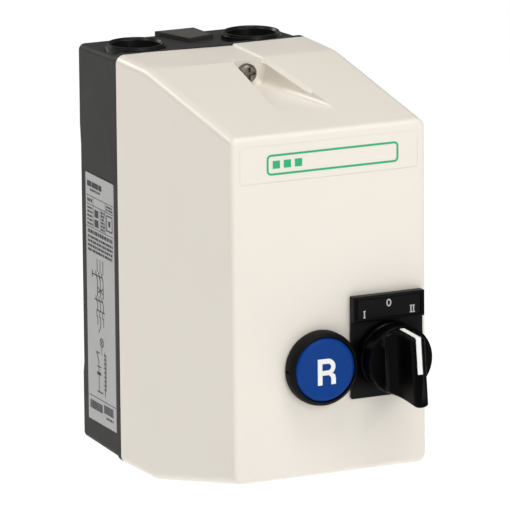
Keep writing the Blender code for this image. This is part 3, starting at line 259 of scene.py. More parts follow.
def soften(target, width, segments=3, angle_deg=32.0):
    """Round every remaining hard edge and keep the broad faces flat in shading."""
    bevel = target.modifiers.new("soft_edges", "BEVEL")
    bevel.width = width * MM
    bevel.segments = segments
    bevel.limit_method = "ANGLE"
    bevel.angle_limit = math.radians(angle_deg)
    bevel.miter_outer = "MITER_ARC"
    bevel.use_clamp_overlap = True
    apply_modifiers(target)
    target.data.shade_smooth()
    normals = target.modifiers.new("face_weights", "WEIGHTED_NORMAL")
    normals.mode = "FACE_AREA"
    normals.weight = 100
    apply_modifiers(target)


def dress(piece, body, slot, *nodes):
    """Put a piece on its body and hide the CAD nodes it stands for; the slot is not used."""
    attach(piece, body)
    if nodes:
        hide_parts(*nodes)


# ---- materials


# Noise scales are per metre; a band is the share of the noise that is spread out to full range
DRIFT_SCALE, DRIFT_BAND = 22.0, (0.35, 0.65)
CLOUD_SCALE, CLOUD_BAND = 90.0, (0.3, 0.7)
BRUSH_SCALE, BRUSH_RELIEF = 900.0, 0.008
# Paler edges by pointiness: partly wear, partly a painted highlight along the edges
WEAR_GLINT_BAND, WEAR_GLINT_AMOUNT = (0.52, 0.60), 0.35


def link(tree, source, target):
    tree.links.new(source, target)


def settings(node, **values):
    """Set a node's inputs, with underscores for the spaces in their names."""
    for name, value in values.items():
        node.inputs[name.replace("_", " ")].default_value = value


def noise(tree, coords, scale, detail=3.0, roughness=0.5):
    """Share of a noise texture at these coordinates, as a socket."""
    node = tree.nodes.new("ShaderNodeTexNoise")
    settings(node, Scale=scale, Detail=detail, Roughness=roughness)
    link(tree, coords, node.inputs["Vector"])
    return node.outputs["Fac"]


def remap(tree, value, band, output):
    """Spread a band of values over an output range."""
    node = tree.nodes.new("ShaderNodeMapRange")
    settings(node, From_Min=band[0], From_Max=band[1], To_Min=output[0], To_Max=output[1])
    link(tree, value, node.inputs["Value"])
    return node.outputs["Result"]


def blend_colours(tree, share, first, second):
    """Mix two colours, each a constant or a socket."""
    node = tree.nodes.new("ShaderNodeMix")
    node.data_type = "RGBA"
    link(tree, share, node.inputs["Factor"])
    for socket, colour in ((node.inputs["A"], first), (node.inputs["B"], second)):
        if isinstance(colour, bpy.types.NodeSocket):
            link(tree, colour, socket)
        else:
            socket.default_value = (*colour, 1.0)
    return node.outputs["Result"]


def shaded(colour, factor):
    """The colour made darker or lighter."""
    return tuple(min(1.0, channel * factor) for channel in colour)


def surface(
    name, colour, roughness, *, metallic=0.0, specular=0.5, tint=0.05, rough_spread=0.08,
    grain=0.010, grain_scale=2600.0, edge_wear_and_glint=None,
):
    """Moulded or plated surface.

    Broad tone drift, cloudy gloss, a fine grain in relief, and paler edges that are partly wear
    and partly a painted highlight along the edges. `tint` is the share the tone drifts by, `grain`
    the relief height in millimetres and the edge colour argument the colour of those edges.
    """
    made = bpy.data.materials.new(name)
    made.use_nodes = True
    tree = made.node_tree
    shader = tree.nodes["Principled BSDF"]
    settings(shader, Metallic=metallic, Specular_IOR_Level=specular)
    coords = tree.nodes.new("ShaderNodeTexCoord").outputs["Object"]
    drift = remap(tree, noise(tree, coords, DRIFT_SCALE, 2.0), DRIFT_BAND, (0.0, 1.0))
    tone = blend_colours(tree, drift, shaded(colour, 1.0 - tint), shaded(colour, 1.0 + tint))
    # Paler edges where the mesh is pointy: partly wear, partly a painted edge highlight
    if edge_wear_and_glint:
        geometry = tree.nodes.new("ShaderNodeNewGeometry")
        edge = remap(tree, geometry.outputs["Pointiness"], WEAR_GLINT_BAND, (0.0, WEAR_GLINT_AMOUNT))
        tone = blend_colours(tree, edge, tone, edge_wear_and_glint)
    link(tree, tone, shader.inputs["Base Color"])
    cloudy = noise(tree, coords, CLOUD_SCALE, 4.0, 0.6)
    spread = (roughness - rough_spread, roughness + rough_spread)
    link(tree, remap(tree, cloudy, CLOUD_BAND, spread), shader.inputs["Roughness"])
    bump = tree.nodes.new("ShaderNodeBump")
    settings(bump, Strength=1.0, Distance=grain * MM)
    link(tree, noise(tree, coords, grain_scale, 2.0), bump.inputs["Height"])
    link(tree, bump.outputs["Normal"], shader.inputs["Normal"])
    return made


def brushed(name, colour, roughness, stretch):
    """Bare or plated metal with fine drawn lines; `stretch` squeezes the lines per axis."""
    made = surface(name, colour, roughness, metallic=1.0, tint=0.08)
    tree = made.node_tree
    mapping = tree.nodes.new("ShaderNodeMapping")
    settings(mapping, Scale=stretch)
    coords = tree.nodes.new("ShaderNodeTexCoord").outputs["Object"]
    link(tree, coords, mapping.inputs["Vector"])
    bump = next(node for node in tree.nodes if node.bl_idname == "ShaderNodeBump")
    settings(bump, Distance=BRUSH_RELIEF * MM)
    link(tree, noise(tree, mapping.outputs["Vector"], BRUSH_SCALE), bump.inputs["Height"])
    return made


CREAM = surface(
    "cream_case", (0.79, 0.743, 0.668), 0.34, tint=0.010, rough_spread=0.04,
    grain=0.004, grain_scale=1500.0,
)
MATT = dict(specular=0.10, tint=0.018, rough_spread=0.03, grain=0.014, grain_scale=1700.0)
CHARCOAL = surface("charcoal_case", (0.036, 0.0353, 0.0343), 0.52, **MATT)
# A lighter grey for the pad's top field: painted sheen, standing in for light on that face
PAD_SHEEN_GREY = surface("pad_painted_sheen_grey", (0.082, 0.080, 0.074), 0.50, **MATT)
# The edge colours below pale the edges: partly wear, partly a painted edge highlight
SWITCHGEAR = surface(
    "switchgear_plastic", (0.060, 0.061, 0.063), 0.48, tint=0.08, grain=0.014,
    edge_wear_and_glint=(0.14, 0.14, 0.14),
)
GLOSS_BLACK = surface(
    "control_black", (0.0008, 0.0008, 0.0008), 0.30, specular=0.05, tint=0.1, rough_spread=0.05,
    grain=0.004, grain_scale=1300.0, edge_wear_and_glint=(0.03, 0.03, 0.03),
)
# A matt black whose lighter tone is painted light, standing in for the lit side of the bezel
BEZEL_LIT_BLACK = surface(
    "bezel_painted_lit_black", (0.0040, 0.0037, 0.0031), 0.55, specular=0.10, tint=0.04, rough_spread=0.05,
    grain=0.006,
)
RUBBER = surface(
    "plug_rubber", (0.006, 0.0058, 0.0054), 0.32, specular=0.22, tint=0.15, grain=0.006,
    edge_wear_and_glint=(0.035, 0.035, 0.033),
)
BLUE = surface(
    "button_blue", (0.003, 0.044, 0.235), 0.34, specular=0.10, tint=0.03, rough_spread=0.05,
    grain=0.004, grain_scale=1400.0, edge_wear_and_glint=(0.04, 0.14, 0.48),
)
WHITE = surface(
    "white_plastic", (0.82, 0.82, 0.81), 0.38, tint=0.02, grain=0.005, edge_wear_and_glint=(0.9, 0.9, 0.89)
)
PALE_GREY = surface("pale_grey_plastic", (0.50, 0.50, 0.49), 0.46, tint=0.03, grain=0.010)
LABEL = surface(
    "label_film", (0.41, 0.41, 0.415), 0.40, tint=0.02, rough_spread=0.06,
    grain=0.003, grain_scale=900.0,
)
INK = surface("label_ink", (0.014, 0.014, 0.015), 0.55, tint=0.1, grain=0.002)
MARK_INK = surface("legend_ink", (0.50, 0.50, 0.49), 0.5, tint=0.03, grain=0.002)
GREEN = surface("name_frame_green", (0.010, 0.40, 0.155), 0.42, tint=0.03, grain=0.003)
ZINC = brushed("zinc_plate", (0.60, 0.59, 0.57), 0.32, (1.0, 6.0, 6.0))
SCREW_STEEL = brushed("screw_steel", (0.20, 0.18, 0.16), 0.42, (4.0, 1.0, 4.0))
BRASS = brushed("brass", (0.72, 0.52, 0.24), 0.30, (1.0, 5.0, 1.0))
COPPER = brushed("copper", (0.74, 0.38, 0.23), 0.34, (1.0, 1.0, 5.0))


# ---- cover


def kinked(y, break_y, before, after):
    """Height of an edge with a rounded kink; `before` is (start y, start z, kink z)."""
    kink_z = before[2]
    first_slope = (kink_z - before[1]) / (break_y - before[0])
    second_slope = (after[1] - kink_z) / (after[0] - break_y)
    offset = y - break_y
    if offset >= KINK_BLEND:
        return kink_z + first_slope * offset
    if offset <= -KINK_BLEND:
        return kink_z + second_slope * offset
    middle = 0.5 * (first_slope + second_slope) * offset
    bend = (first_slope - second_slope) * (offset ** 2 + KINK_BLEND ** 2) / (4.0 * KINK_BLEND)
    return kink_z + middle + bend


def cover_top(y):
    """Height of the cover's upper side: nearly flat, then sloping to the front."""
    start = (SEAM_Y, CASE_HALF_H, CASE_HALF_H - RIDGE_DROP)
    return kinked(y, RIDGE_Y, start, (FRONT_Y, FRONT_TOP_Z))


def cover_bottom(y):
    """Height of the cover's lower side: nearly flat, then rising to the front."""
    start = (SEAM_Y, -CASE_HALF_H, CHAMFER_RISE - CASE_HALF_H)
    return kinked(y, CHAMFER_Y, start, (FRONT_Y, FRONT_BOTTOM_Z))


def cover_half_width(y):
    share = (y - SEAM_Y) / (FRONT_Y - SEAM_Y)
    return CASE_HALF_W + (COVER_FRONT_HALF_W - CASE_HALF_W) * share


def cover_section(y, inset):
    """The cover's outline at a depth, moved inwards by an inset."""
    return rounded_rectangle(
        cover_half_width(y) - inset,
        cover_bottom(y) + inset,
        cover_top(y) - inset,
        max(CORNER_R - inset, INNER_CORNER_R),
        y,
    )


def cover_skin():
    """Outer skin from the rounded front edge to the rear edge, then the inner skin back."""
    kink_steps, edge_steps = 8, 7
    stations = [COVER_REAR_Y, FRONT_Y + FRONT_EDGE_R]
    for kink in (RIDGE_Y, CHAMFER_Y):
        for step in range(kink_steps + 1):
            stations.append(kink + KINK_BLEND * (1.0 - 2.0 * step / kink_steps))
    stations.sort()
    edge = []
    for step in range(edge_steps, 0, -1):
        angle = math.radians(90.0 * step / edge_steps)
        outline = cover_section(stations[0], FRONT_EDGE_R * (1.0 - math.cos(angle)))
        forward = FRONT_EDGE_R * math.sin(angle)
        edge.append([(x, y - forward, z) for x, y, z in outline])
    outer = [cover_section(y, 0.0) for y in stations]
    inner_front = FRONT_Y + WALL
    inner = [cover_section(y, WALL) for y in reversed(stations) if y > inner_front]
    inner.append(cover_section(inner_front, WALL))
    return new_shape(add_loft, edge + outer + inner)


def pocket_outline(margin, front_y):
    """Plan of the screw pocket, which widens towards the front."""
    back_y = POCKET_BACK_Y + margin
    reach = back_y - front_y
    return [
        (POCKET_LEFT_X - margin, back_y),
        (POCKET_RIGHT_X + margin, back_y),
        (POCKET_RIGHT_X + margin + POCKET_RIGHT_SPREAD * reach, front_y),
        (POCKET_LEFT_X - margin - POCKET_LEFT_SPREAD * reach, front_y),
    ]


def pocket_liner():
    """The block that the pocket is sunk into, just under the cover's skin."""
    wall, floor_t, below_skin = 2.1, 2.0, 0.6
    outline = pocket_outline(wall, POCKET_FRONT_Y - 1.0)
    floor = [(x, y, POCKET_FLOOR_Z - floor_t) for x, y in outline]
    return new_shape(add_loft, [floor, [(x, y, cover_top(y) - below_skin) for x, y in outline]])


def pocket_tool():
    """The pocket's hollow, with a soft fillet between its walls and its floor."""
    outline = pocket_outline(0.0, POCKET_FRONT_Y)
    shape = new_shape(add_prism, outline, 2, POCKET_FLOOR_Z, SKY_Z)
    near = 0.01
    low = [
        edge for edge in shape.edges
        if all(abs(vert.co.z - POCKET_FLOOR_Z) < near for vert in edge.verts)
        and not all(abs(vert.co.y - POCKET_FRONT_Y) < near for vert in edge.verts)
    ]
    upright = [
        edge for edge in shape.edges
        if all(abs(vert.co.y - POCKET_BACK_Y) < near for vert in edge.verts)
        and abs(edge.verts[0].co.x - edge.verts[1].co.x) < near
    ]
    bmesh.ops.bevel(
        shape, geom=low + upright, offset=POCKET_FILLET, segments=7, profile=0.5, affect="EDGES"
    )
    return shape


def panel_tool():
    """Holes for the two controls and for the cover screw."""
    reach = 5.0
    shape = bmesh.new()
    for centre in (RESET_AXIS, SELECTOR_AXIS):
        add_cylinder(shape, CONTROL_HOLE_R, 1, FRONT_Y - reach, FRONT_Y + reach, 72, centre)
    near, far = POCKET_BACK_Y - 1.0, POCKET_BACK_Y + reach
    add_cylinder(shape, SCREW_HOLE_R, 1, near, far, 32, SCREW_AXIS)
    return shape


def plate_tool():
    """Shallow seat of the name plate."""
    ends = (FRONT_Y - CLEAR, FRONT_Y + 0.12)
    sections = [rounded_rectangle(*NAME_SEAT, y, SMALL_CORNER_STEPS) for y in ends]
    return new_shape(add_loft, sections)


def channel_tool():
    """Shallow channel from the seam to the pocket.

    It deepens to the right, where its wall rises at 45 degrees.
    """
    past_ridge, above_skin = 0.5, 0.02
    ends = (
        (SEAM_Y + CLEAR, CASE_HALF_H),
        (POCKET_BACK_Y - past_ridge, CASE_HALF_H - RIDGE_DROP),
    )
    sections = []
    for y, skin_z in ends:
        low_z = skin_z - CHANNEL_DEPTH
        sections.append([
            (CHANNEL_LEFT_X, y, skin_z + above_skin),
            (POCKET_RIGHT_X, y, low_z),
            (POCKET_RIGHT_X + SKY_Z - low_z, y, SKY_Z),
            (CHANNEL_LEFT_X, y, SKY_Z),
        ])
    return new_shape(add_loft, sections)


def lip_tool():
    """Sloping edge along the pocket's right wall, fading out with the pocket's depth."""
    start_y, pitch, steps = POCKET_BACK_Y - 0.4, 3.1, 12
    rise, overlap = 2.0, 1.0
    depth_share, least_pocket = 0.3, 0.3
    sections = []
    for step in range(steps + 1):
        y = start_y - pitch * step
        x = POCKET_RIGHT_X + POCKET_RIGHT_SPREAD * (POCKET_BACK_Y - y)
        top = cover_top(y)
        depth = min(LIP_DEPTH, depth_share * max(least_pocket, top - POCKET_FLOOR_Z))
        sections.append([
            (x - overlap, y, top - depth), (x, y, top - depth),
            (x + depth + rise, y, top + rise), (x - overlap, y, top + rise),
        ])
    return new_shape(add_loft, sections)


def tab_shape():
    """Two tabs at the bottom of the cover that reach inside the base tray."""
    width, left_edges = 12.0, (-26.0, 14.0)
    front_y, step_y, rear_y = -50.0, -42.2, -34.0
    wall_z, under_z, top_z = -79.6, -76.7, -74.9
    outline = [
        (front_y, wall_z), (front_y, top_z), (rear_y, top_z),
        (rear_y, under_z), (step_y, under_z), (step_y, wall_z),
    ]
    shape = bmesh.new()
    for left in left_edges:
        add_prism(shape, outline, 0, left, left + width)
    return shape


def make_cover():
    cover = finish_mesh("cover_shell", cover_skin(), CREAM)
    combine(cover, "liner", pocket_liner(), "UNION")
    combine(cover, "tabs", tab_shape(), "UNION")
    combine(cover, "pocket", pocket_tool(), "DIFFERENCE")
    combine(cover, "channel", channel_tool(), "DIFFERENCE")
    combine(cover, "lip", lip_tool(), "DIFFERENCE")
    combine(cover, "holes", panel_tool(), "DIFFERENCE")
    combine(cover, "plate_seat", plate_tool(), "DIFFERENCE")
    soften(cover, 0.28)
    dress(cover, "cover", "cream_case", "front_cover")


def make_name_plate():
    """Blank plate in its seat, almost flush with the front."""
    ends = (FRONT_Y + 0.08, FRONT_Y - 0.03)
    sections = [rounded_rectangle(*NAME_PLATE, y, SMALL_CORNER_STEPS) for y in ends]
    plate = finish_mesh("name_plate_field", new_shape(add_loft, sections), CREAM)
    soften(plate, 0.04, 2)
    dress(plate, "cover", "cream_case", "name_plate")


def make_name_frame():
    """Plain green outline with three small squares, where a name would be printed."""
    front, back = FRONT_Y - 0.10, FRONT_Y - 0.02
    left, right, low, high = -26.0, 29.0, 52.6, 60.6
    line, radius = 0.8, 1.8
    first_square, pitch, half = 4.0, 4.6, 1.5
    centre, half_w = (left + right) / 2, (right - left) / 2
    sections = []
    for inset, y in ((0.0, back), (0.0, front), (line, front), (line, back)):
        ring = rounded_rectangle(
            half_w - inset, low + inset, high - inset, radius - inset, y, 5
        )
        sections.append([(centre + x, along, z) for x, along, z in ring])
    shape = new_shape(add_loft, sections, ring=True)
    middle = (low + high) / 2
    for step in range(3):
        x = left + first_square + pitch * step
        add_box(shape, (x - half, front, middle - half), (x + half, back, middle + half))
    frame_piece = finish_mesh("name_frame", shape, GREEN)
    dress(frame_piece, "cover", "cream_case")


# ---- base


BASE_STEP_Y = -35.5
BASE_REAR_HALF_W, BASE_STEP_HALF_W = 40.17, 40.85
BASE_REAR_LOW, BASE_STEP_LOW = -79.67, -80.6
BASE_REAR_HIGH, BASE_STEP_HIGH = 79.0, 80.3
BASE_EDGE_R, TONGUE_R = 2.4, 1.2
TRAY_HALF_W, TRAY_HALF_H, TRAY_FLOOR_Y = 37.3, 77.2, -3.5
TOP_ENTRY_Y, BOTTOM_ENTRY_Y = -26.2, -22.0
RAIL_POST_X = (-30.0, 30.0)
RAIL_Z = centre_xz("din_rail")[1]
# Posts and stand start inside the tray's floor
ROOT_Y = -3.0

# The raised pad on top: plan corners, foot height
PAD_PLAN = [(-7.4, -0.5), (9.3, -0.5), (9.3, -19.0), (-2.7, -23.0)]
PAD_FOOT_Z = 78.6


def between(pair, share):
    return pair[0] + (pair[1] - pair[0]) * share


def base_outline(y, inset, radius=BASE_EDGE_R):
    """The tray's drafted outer outline behind its rim."""
    share = y / BASE_STEP_Y
    return rounded_rectangle(
        BASE_REAR_HALF_W + (BASE_STEP_HALF_W - BASE_REAR_HALF_W) * share - inset,
        BASE_REAR_LOW + (BASE_STEP_LOW - BASE_REAR_LOW) * share + inset,
        BASE_REAR_HIGH + (BASE_STEP_HIGH - BASE_REAR_HIGH) * share - inset,
        radius,
        y,
    )


def rim_outline(y, inset, radius):
    """The rim's outline at a depth, moved inwards by an inset."""
    return rounded_rectangle(
        CASE_HALF_W - inset, inset - CASE_HALF_H, CASE_HALF_H - inset, radius, y
    )


def tray_skin():
    """Outer wall, rim, tongue and inner wall of the tray, from back to floor."""
    tongue_inset = 2.9
    sections = [
        base_outline(0.0, 0.8, 1.8),
        base_outline(-0.25, 0.25, 2.2),
        base_outline(-0.8, 0.0),
        base_outline(BASE_STEP_Y, 0.0),
        rim_outline(BASE_STEP_Y - 0.4, 0.0, CORNER_R),
        rim_outline(SEAM_Y, 0.0, CORNER_R),
        rim_outline(SEAM_Y, tongue_inset, TONGUE_R),
        rim_outline(TONGUE_Y, tongue_inset, TONGUE_R),
        rounded_rectangle(TRAY_HALF_W, -TRAY_HALF_H, TRAY_HALF_H, TONGUE_R, TONGUE_Y),
        rounded_rectangle(TRAY_HALF_W, -TRAY_HALF_H, TRAY_HALF_H, TONGUE_R, TRAY_FLOOR_Y),
    ]
    return new_shape(add_loft, sections)


def pad_top(y):
    """Height of the pad's top, which rises slightly to the front."""
    return 80.85 - 0.03 * y


def tray_bosses():
    """Raised pad on top; screw post, rail posts and relay stand inside."""
    post_half_w, post_front_y, post_low_z, post_high_z = 5.5, -36.5, 70.2, 77.8
    rail_post_r, rail_post_front_y = 4.2, -9.0
    stand_low, stand_high = (-22.0, -9.7, -52.0), (12.0, ROOT_Y, -20.0)
    foot = [(x, y, PAD_FOOT_Z) for x, y in PAD_PLAN]
    shape = new_shape(add_loft, [foot, [(x, y, pad_top(y)) for x, y in PAD_PLAN]])
    add_box(
        shape,
        (SCREW_X - post_half_w, post_front_y, post_low_z),
        (SCREW_X + post_half_w, ROOT_Y, post_high_z),
    )
    for x in RAIL_POST_X:
        add_cylinder(shape, rail_post_r, 1, rail_post_front_y, ROOT_Y, 24, (x, RAIL_Z))
    add_box(shape, stand_low, stand_high)
    return shape


def entry_tools(shape):
    """Top entries are plain holes; the lower ones have a seat for the plug's lip."""
    hole_r, seat_r, inner_z, seat_z, far_z = 10.5, 11.4, 77.0, 78.9, 90.0
    stepped = [
        (0.0, -inner_z), (hole_r, -inner_z), (hole_r, -seat_z),
        (seat_r, -seat_z), (seat_r, -far_z), (0.0, -far_z),
    ]
    for side in ("left", "right"):
        x = centre_xz(f"entry_plug_top_{side}")[0]
        add_cylinder(shape, hole_r, 2, inner_z, far_z, 64, (x, TOP_ENTRY_Y))
        add_turned(shape, stepped, 2, 64, (x, BOTTOM_ENTRY_Y))


def tray_holes():
    """Cable entries, rear recess between two feet, wall, rail and cover screw holes."""
    # Profile of the rear recess as (depth, height), and the rib that splits it
    recess = [(2.0, 59.6), (0.0, 55.6), (-1.65, 38.8), (-1.65, -48.8), (0.0, -57.3), (2.0, -61.3)]
    rib_half_w, outside_x = 8.0, 50.0
    wall_hole_x, wall_hole_z, wall_hole_r = 32.0, 66.0, 2.6
    shape = bmesh.new()
    entry_tools(shape)
    for near, far in ((rib_half_w, outside_x), (-outside_x, -rib_half_w)):
        add_prism(shape, recess, 0, near, far)
    for x in (-wall_hole_x, wall_hole_x):
        for z in (-wall_hole_z, wall_hole_z):
            add_cylinder(shape, wall_hole_r, 1, -8.0, 4.0, 32, (x, z))
    for x in RAIL_POST_X:
        add_cylinder(shape, 1.8, 1, -12.0, -4.2, 20, (x, RAIL_Z))
    add_cylinder(shape, 3.0, 1, -44.0, -14.0, 28, SCREW_AXIS)
    return shape


def seal_groove():
    """A ring-shaped groove in the rim for the gasket."""
    outer, inner = 1.0, 2.6
    bottom_y, front_y = -37.6, -45.0
    corners = ((outer, bottom_y), (outer, front_y), (inner, front_y), (inner, bottom_y))
    sections = []
    for inset, y in corners:
        sections.append(rim_outline(y, inset, CORNER_R - inset))
    return new_shape(add_loft, sections, ring=True)


def make_base():
    tray = finish_mesh("base_tray", tray_skin(), CHARCOAL)
    combine(tray, "bosses", tray_bosses(), "UNION")
    combine(tray, "groove", seal_groove(), "DIFFERENCE")
    combine(tray, "holes", tray_holes(), "DIFFERENCE")
    soften(tray, 0.22)
    dress(tray, "base", "charcoal_case", "rear_base")


def make_pad_sheen_field():
    """A lighter grey field inside the raised pad's edge: painted sheen for the light on the pad's
    top.
    """
    middle, share, ends = (0.9, -9.8), 0.9, (-0.2, 0.04)
    plan = [
        tuple(between(pair, share) for pair in zip(middle, corner)) for corner in PAD_PLAN
    ]
    sections = [[(x, y, pad_top(y) + rise) for x, y in plan] for rise in ends]
    face = finish_mesh("pad_sheen_field", new_shape(add_loft, sections), PAD_SHEEN_GREY)
    dress(face, "base", "charcoal_case")


def plug_profile(rim, flange):
    """A lipped cup with a thin web, as (radius, distance from the case's middle)."""
    inner, web, flange_low = 77.3, 78.4, 79.4
    neck_r, flange_r, lip_r, lip_t, mouth_r = 10.2, 11.8, 11.1, 0.8, 10.45
    seat = rim - lip_t
    skirt = [(flange_r, flange_low), (flange_r, seat)] if flange else [(neck_r, seat)]
    return [
        (0.0, inner), (neck_r, inner), (neck_r, flange_low), *skirt, (lip_r, seat), (lip_r, rim),
        (mouth_r, rim), (9.8, seat - 0.3), (9.7, web), (0.0, web),
    ]


def make_plugs():
    """A blanking plug in each cable entry; the top two stand on a flange."""
    for level, sign in (("top", 1.0), ("bottom", -1.0)):
        for side in ("left", "right"):
            node = f"entry_plug_{level}_{side}"
            low, high = box_mm(node)
            centre = ((low.x + high.x) / 2, (low.y + high.y) / 2)
            rim = high.z if sign > 0 else -low.z
            outline = rounded_profile(plug_profile(rim, sign > 0), 0.16)
            outline = [(radius, sign * along) for radius, along in outline]
            shape = new_shape(add_turned, outline, 2, 72, centre)
            plug = finish_mesh(f"entry_cup_{level}_{side}", shape, RUBBER)
            dress(plug, "base", "rubber_seal", node)


# ---- label


def make_label_print():
    """Generic print on the side label: rules, plain dashes, a circuit diagram and two bars."""
    low, high = box_mm("side_label")
    film, lifts = 0.3, (0.01, 0.04)
    top = high.z
    rear_x, front_x = high.x - film, low.x
    rear_y, front_y = high.y, low.y
    shape = bmesh.new()

    def wall_x(y):
        """X of the label's face, which leans with the wall."""
        return rear_x + (front_x - rear_x) * (y - rear_y) / (front_y - rear_y)

    def patch(points):
        """A thin printed patch; points are (distance from rear edge, distance from top)."""
        sections = []
        for lift in lifts:
            section = []
            for u, v in points:
                y = rear_y - u
                section.append((wall_x(y) - lift, y, top - v))
            sections.append(section)
        add_loft(shape, sections)

    def bar(u, v, width, height):
        """A printed rectangle from its corner."""
        patch([(u, v), (u + width, v), (u + width, v + height), (u, v + height)])

    def stroke(start, end, width):
        """A printed line."""
        a, b = Vector(start), Vector(end)
        side = (b - a).normalized().orthogonal() * width / 2
        patch([tuple(a + side), tuple(b + side), tuple(b - side), tuple(a - side)])

    def dashes(v, start, end, height, rng):
        """A row of uneven dashes in place of words."""
        shortest = 0.4
        u = start
        while u < end - shortest:
            length = min(rng.uniform(0.6, 2.2), end - u)
            bar(u, v, length, height)
            u += length + rng.uniform(0.3, 0.6)

    rng = random.Random(7)
    draw_heading(stroke, bar, dashes, rng)
    draw_circuit(stroke, bar)
    draw_control_lines(stroke, bar)
    draw_bars(stroke, bar, dashes, rng)
    piece = finish_mesh("label_print", shape, INK)
    dress(piece, "base", "printed_label")


def draw_heading(stroke, bar, dashes, rng):
    """A heading block, a ruled table of dashes, plain symbols and a few rows of dashes."""
    for u, width in ((1.6, 4.4), (6.4, 6.2), (13.0, 3.0)):
        bar(u, 3.0, width, 2.2)
    dashes(5.9, 4.5, 14.5, 0.9, rng)
    for v in (8.9, 12.4, 21.4):
        stroke((0.6, v), (27.4, v), 0.26)
    for u, low, high in ((7.4, 8.9, 21.4), (14.2, 12.4, 21.4), (19.6, 8.9, 21.4)):
        stroke((u, low), (u, high), 0.22)
    dashes(10.1, 1.6, 6.4, 1.3, rng)
    for row in range(2):
        dashes(9.7 + 1.2 * row, 20.4, 26.8, 0.75, rng)
    for row in range(5):
        dashes(13.4 + 1.6 * row, 1.4, 6.6, 0.8, rng)
    for row in range(2):
        bar(8.6, 13.6 + 3.9 * row, 4.0, 3.0)
    for row in range(6):
        dashes(13.1 + 1.35 * row, 15.0, 18.9, 0.95, rng)
    corners = ((20.7, 13.6), (26.3, 13.6), (26.3, 19.6), (20.7, 19.6))
    for start, end in zip(corners, corners[1:] + corners[:1]):
        stroke(start, end, 0.55)
    bar(22.5, 15.5, 2.0, 2.2)
    dashes(22.4, 1.8, 26.4, 1.5, rng)
    for row in range(4):
        dashes(24.8 + 1.75 * row, 1.6, 26.6, 1.05, rng)


def draw_circuit(stroke, bar):
    """Three supply lines through two rows of contacts and a relay, as a plain diagram."""
    line = 0.5
    for index in range(3):
        u = 10.6 + 2.9 * index
        stroke((u, 33.0), (u, 38.4), line)
        stroke((u - 1.7, 38.2), (u, 41.4), 1.3 * line)
        stroke((u, 41.4), (u, 48.2), line)
        stroke((u - 1.7, 48.0), (u, 51.2), 1.3 * line)
        stroke((u, 51.2), (u, 53.4), line)
        bar(u - 1.1, 53.4, 2.2, 0.6)
        stroke((u - 1.0, 54.0), (u - 1.0, 56.2), line)
        stroke((u - 1.0, 56.2), (u + 0.2, 56.2), line)
        stroke((u, 56.2), (u, 59.6), line)
    stroke((5.6, 39.8), (15.8, 39.8), line)
    stroke((5.6, 38.4), (5.6, 41.2), 1.4 * line)
    stroke((7.4, 49.6), (15.8, 49.6), line)
    stroke((10.6, 44.2), (16.4, 46.6), line)
    stroke((16.4, 44.2), (10.6, 46.6), line)
    stroke((13.5, 59.6), (11.4, 62.6), line)


def draw_control_lines(stroke, bar):
    """The control line below the diagram: a round lamp symbol, rungs and two contacts."""
    line = 0.42
    steps, radius = 14, 1.7
    corners = []
    for step in range(steps + 1):
        angle = math.tau * step / steps
        corners.append((14.2 + radius * math.cos(angle), 66.2 + radius * math.sin(angle)))
    for start, end in zip(corners, corners[1:]):
        stroke(start, end, line)
    for side in (-1.0, 1.0):
        stroke((14.2 - side * 1.2, 65.0), (14.2 + side * 1.2, 67.4), line)
    stroke((14.2, 67.9), (14.2, 71.0), line)
    stroke((17.2, 69.4), (17.2, 87.6), 1.3 * line)
    stroke((18.3, 70.4), (18.3, 84.0), line)
    for rung in range(9):
        v = 70.6 + 1.75 * rung
        stroke((16.2, v), (18.6, v), line)
    stroke((8.6, 70.8), (12.2, 70.8), line)
    stroke((8.8, 70.8), (11.0, 74.2), 1.4 * line)
    stroke((9.2, 76.4), (13.4, 76.4), line)
    bar(9.2, 78.6, 3.8, 1.2)
    stroke((11.0, 74.2), (11.0, 86.6), line)
    stroke((9.4, 86.6), (15.0, 86.6), 1.2 * line)


def draw_bars(stroke, bar, dashes, rng):
    """Two plain striped bars under a rule."""
    stroke((0.6, 89.6), (27.4, 89.6), 0.3)
    for start, end, v in ((1.8, 13.2, 91.4), (15.6, 24.6, 90.8)):
        u = start
        while u < end:
            width = rng.choice((0.5, 0.7, 1.0))
            bar(u, v, width, 3.4)
            u += width + rng.choice((0.25, 0.35))
    dashes(95.4, 18.0, 25.0, 0.9, rng)


# ---- controls


def make_cover_screw():
    """Captive screw with a cross recess."""
    seat_y = POCKET_BACK_Y - 0.3
    face_y = box_mm("cover_screw")[0].y
    head_r, face_r, shank_r, head_edge = 3.75, 2.9, 1.6, 1.1
    shank_end_y, tip_y = -25.5, -24.5
    half_l, half_w, depth = 2.5, 0.55, 1.3
    head = rounded_profile(
        [
            (0.0, face_y), (face_r, face_y), (head_r, face_y + head_edge),
            (head_r, seat_y), (shank_r, seat_y), (shank_r, shank_end_y),
        ],
        0.35,
    )
    shape = new_shape(add_turned, head + [(0.0, tip_y)], 1, 48, SCREW_AXIS)
    screw = finish_mesh("cover_screw_fine", shape, SCREW_STEEL)
    to_axis = Matrix.Translation((SCREW_X, 0.0, SCREW_Z))
    for turn in (0.0, 90.0):
        low, high = (-half_l, face_y - CLEAR, -half_w), (half_l, face_y + depth, half_w)
        slot = new_shape(add_box, low, high)
        turned = to_axis @ Matrix.Rotation(math.radians(turn), 4, "Y")
        bmesh.ops.transform(slot, matrix=turned, verts=slot.verts)
        combine(screw, "slot", slot, "DIFFERENCE")
    soften(screw, 0.12, 2)
    dress(screw, "cover_screw", "zinc_steel", "cover_screw")


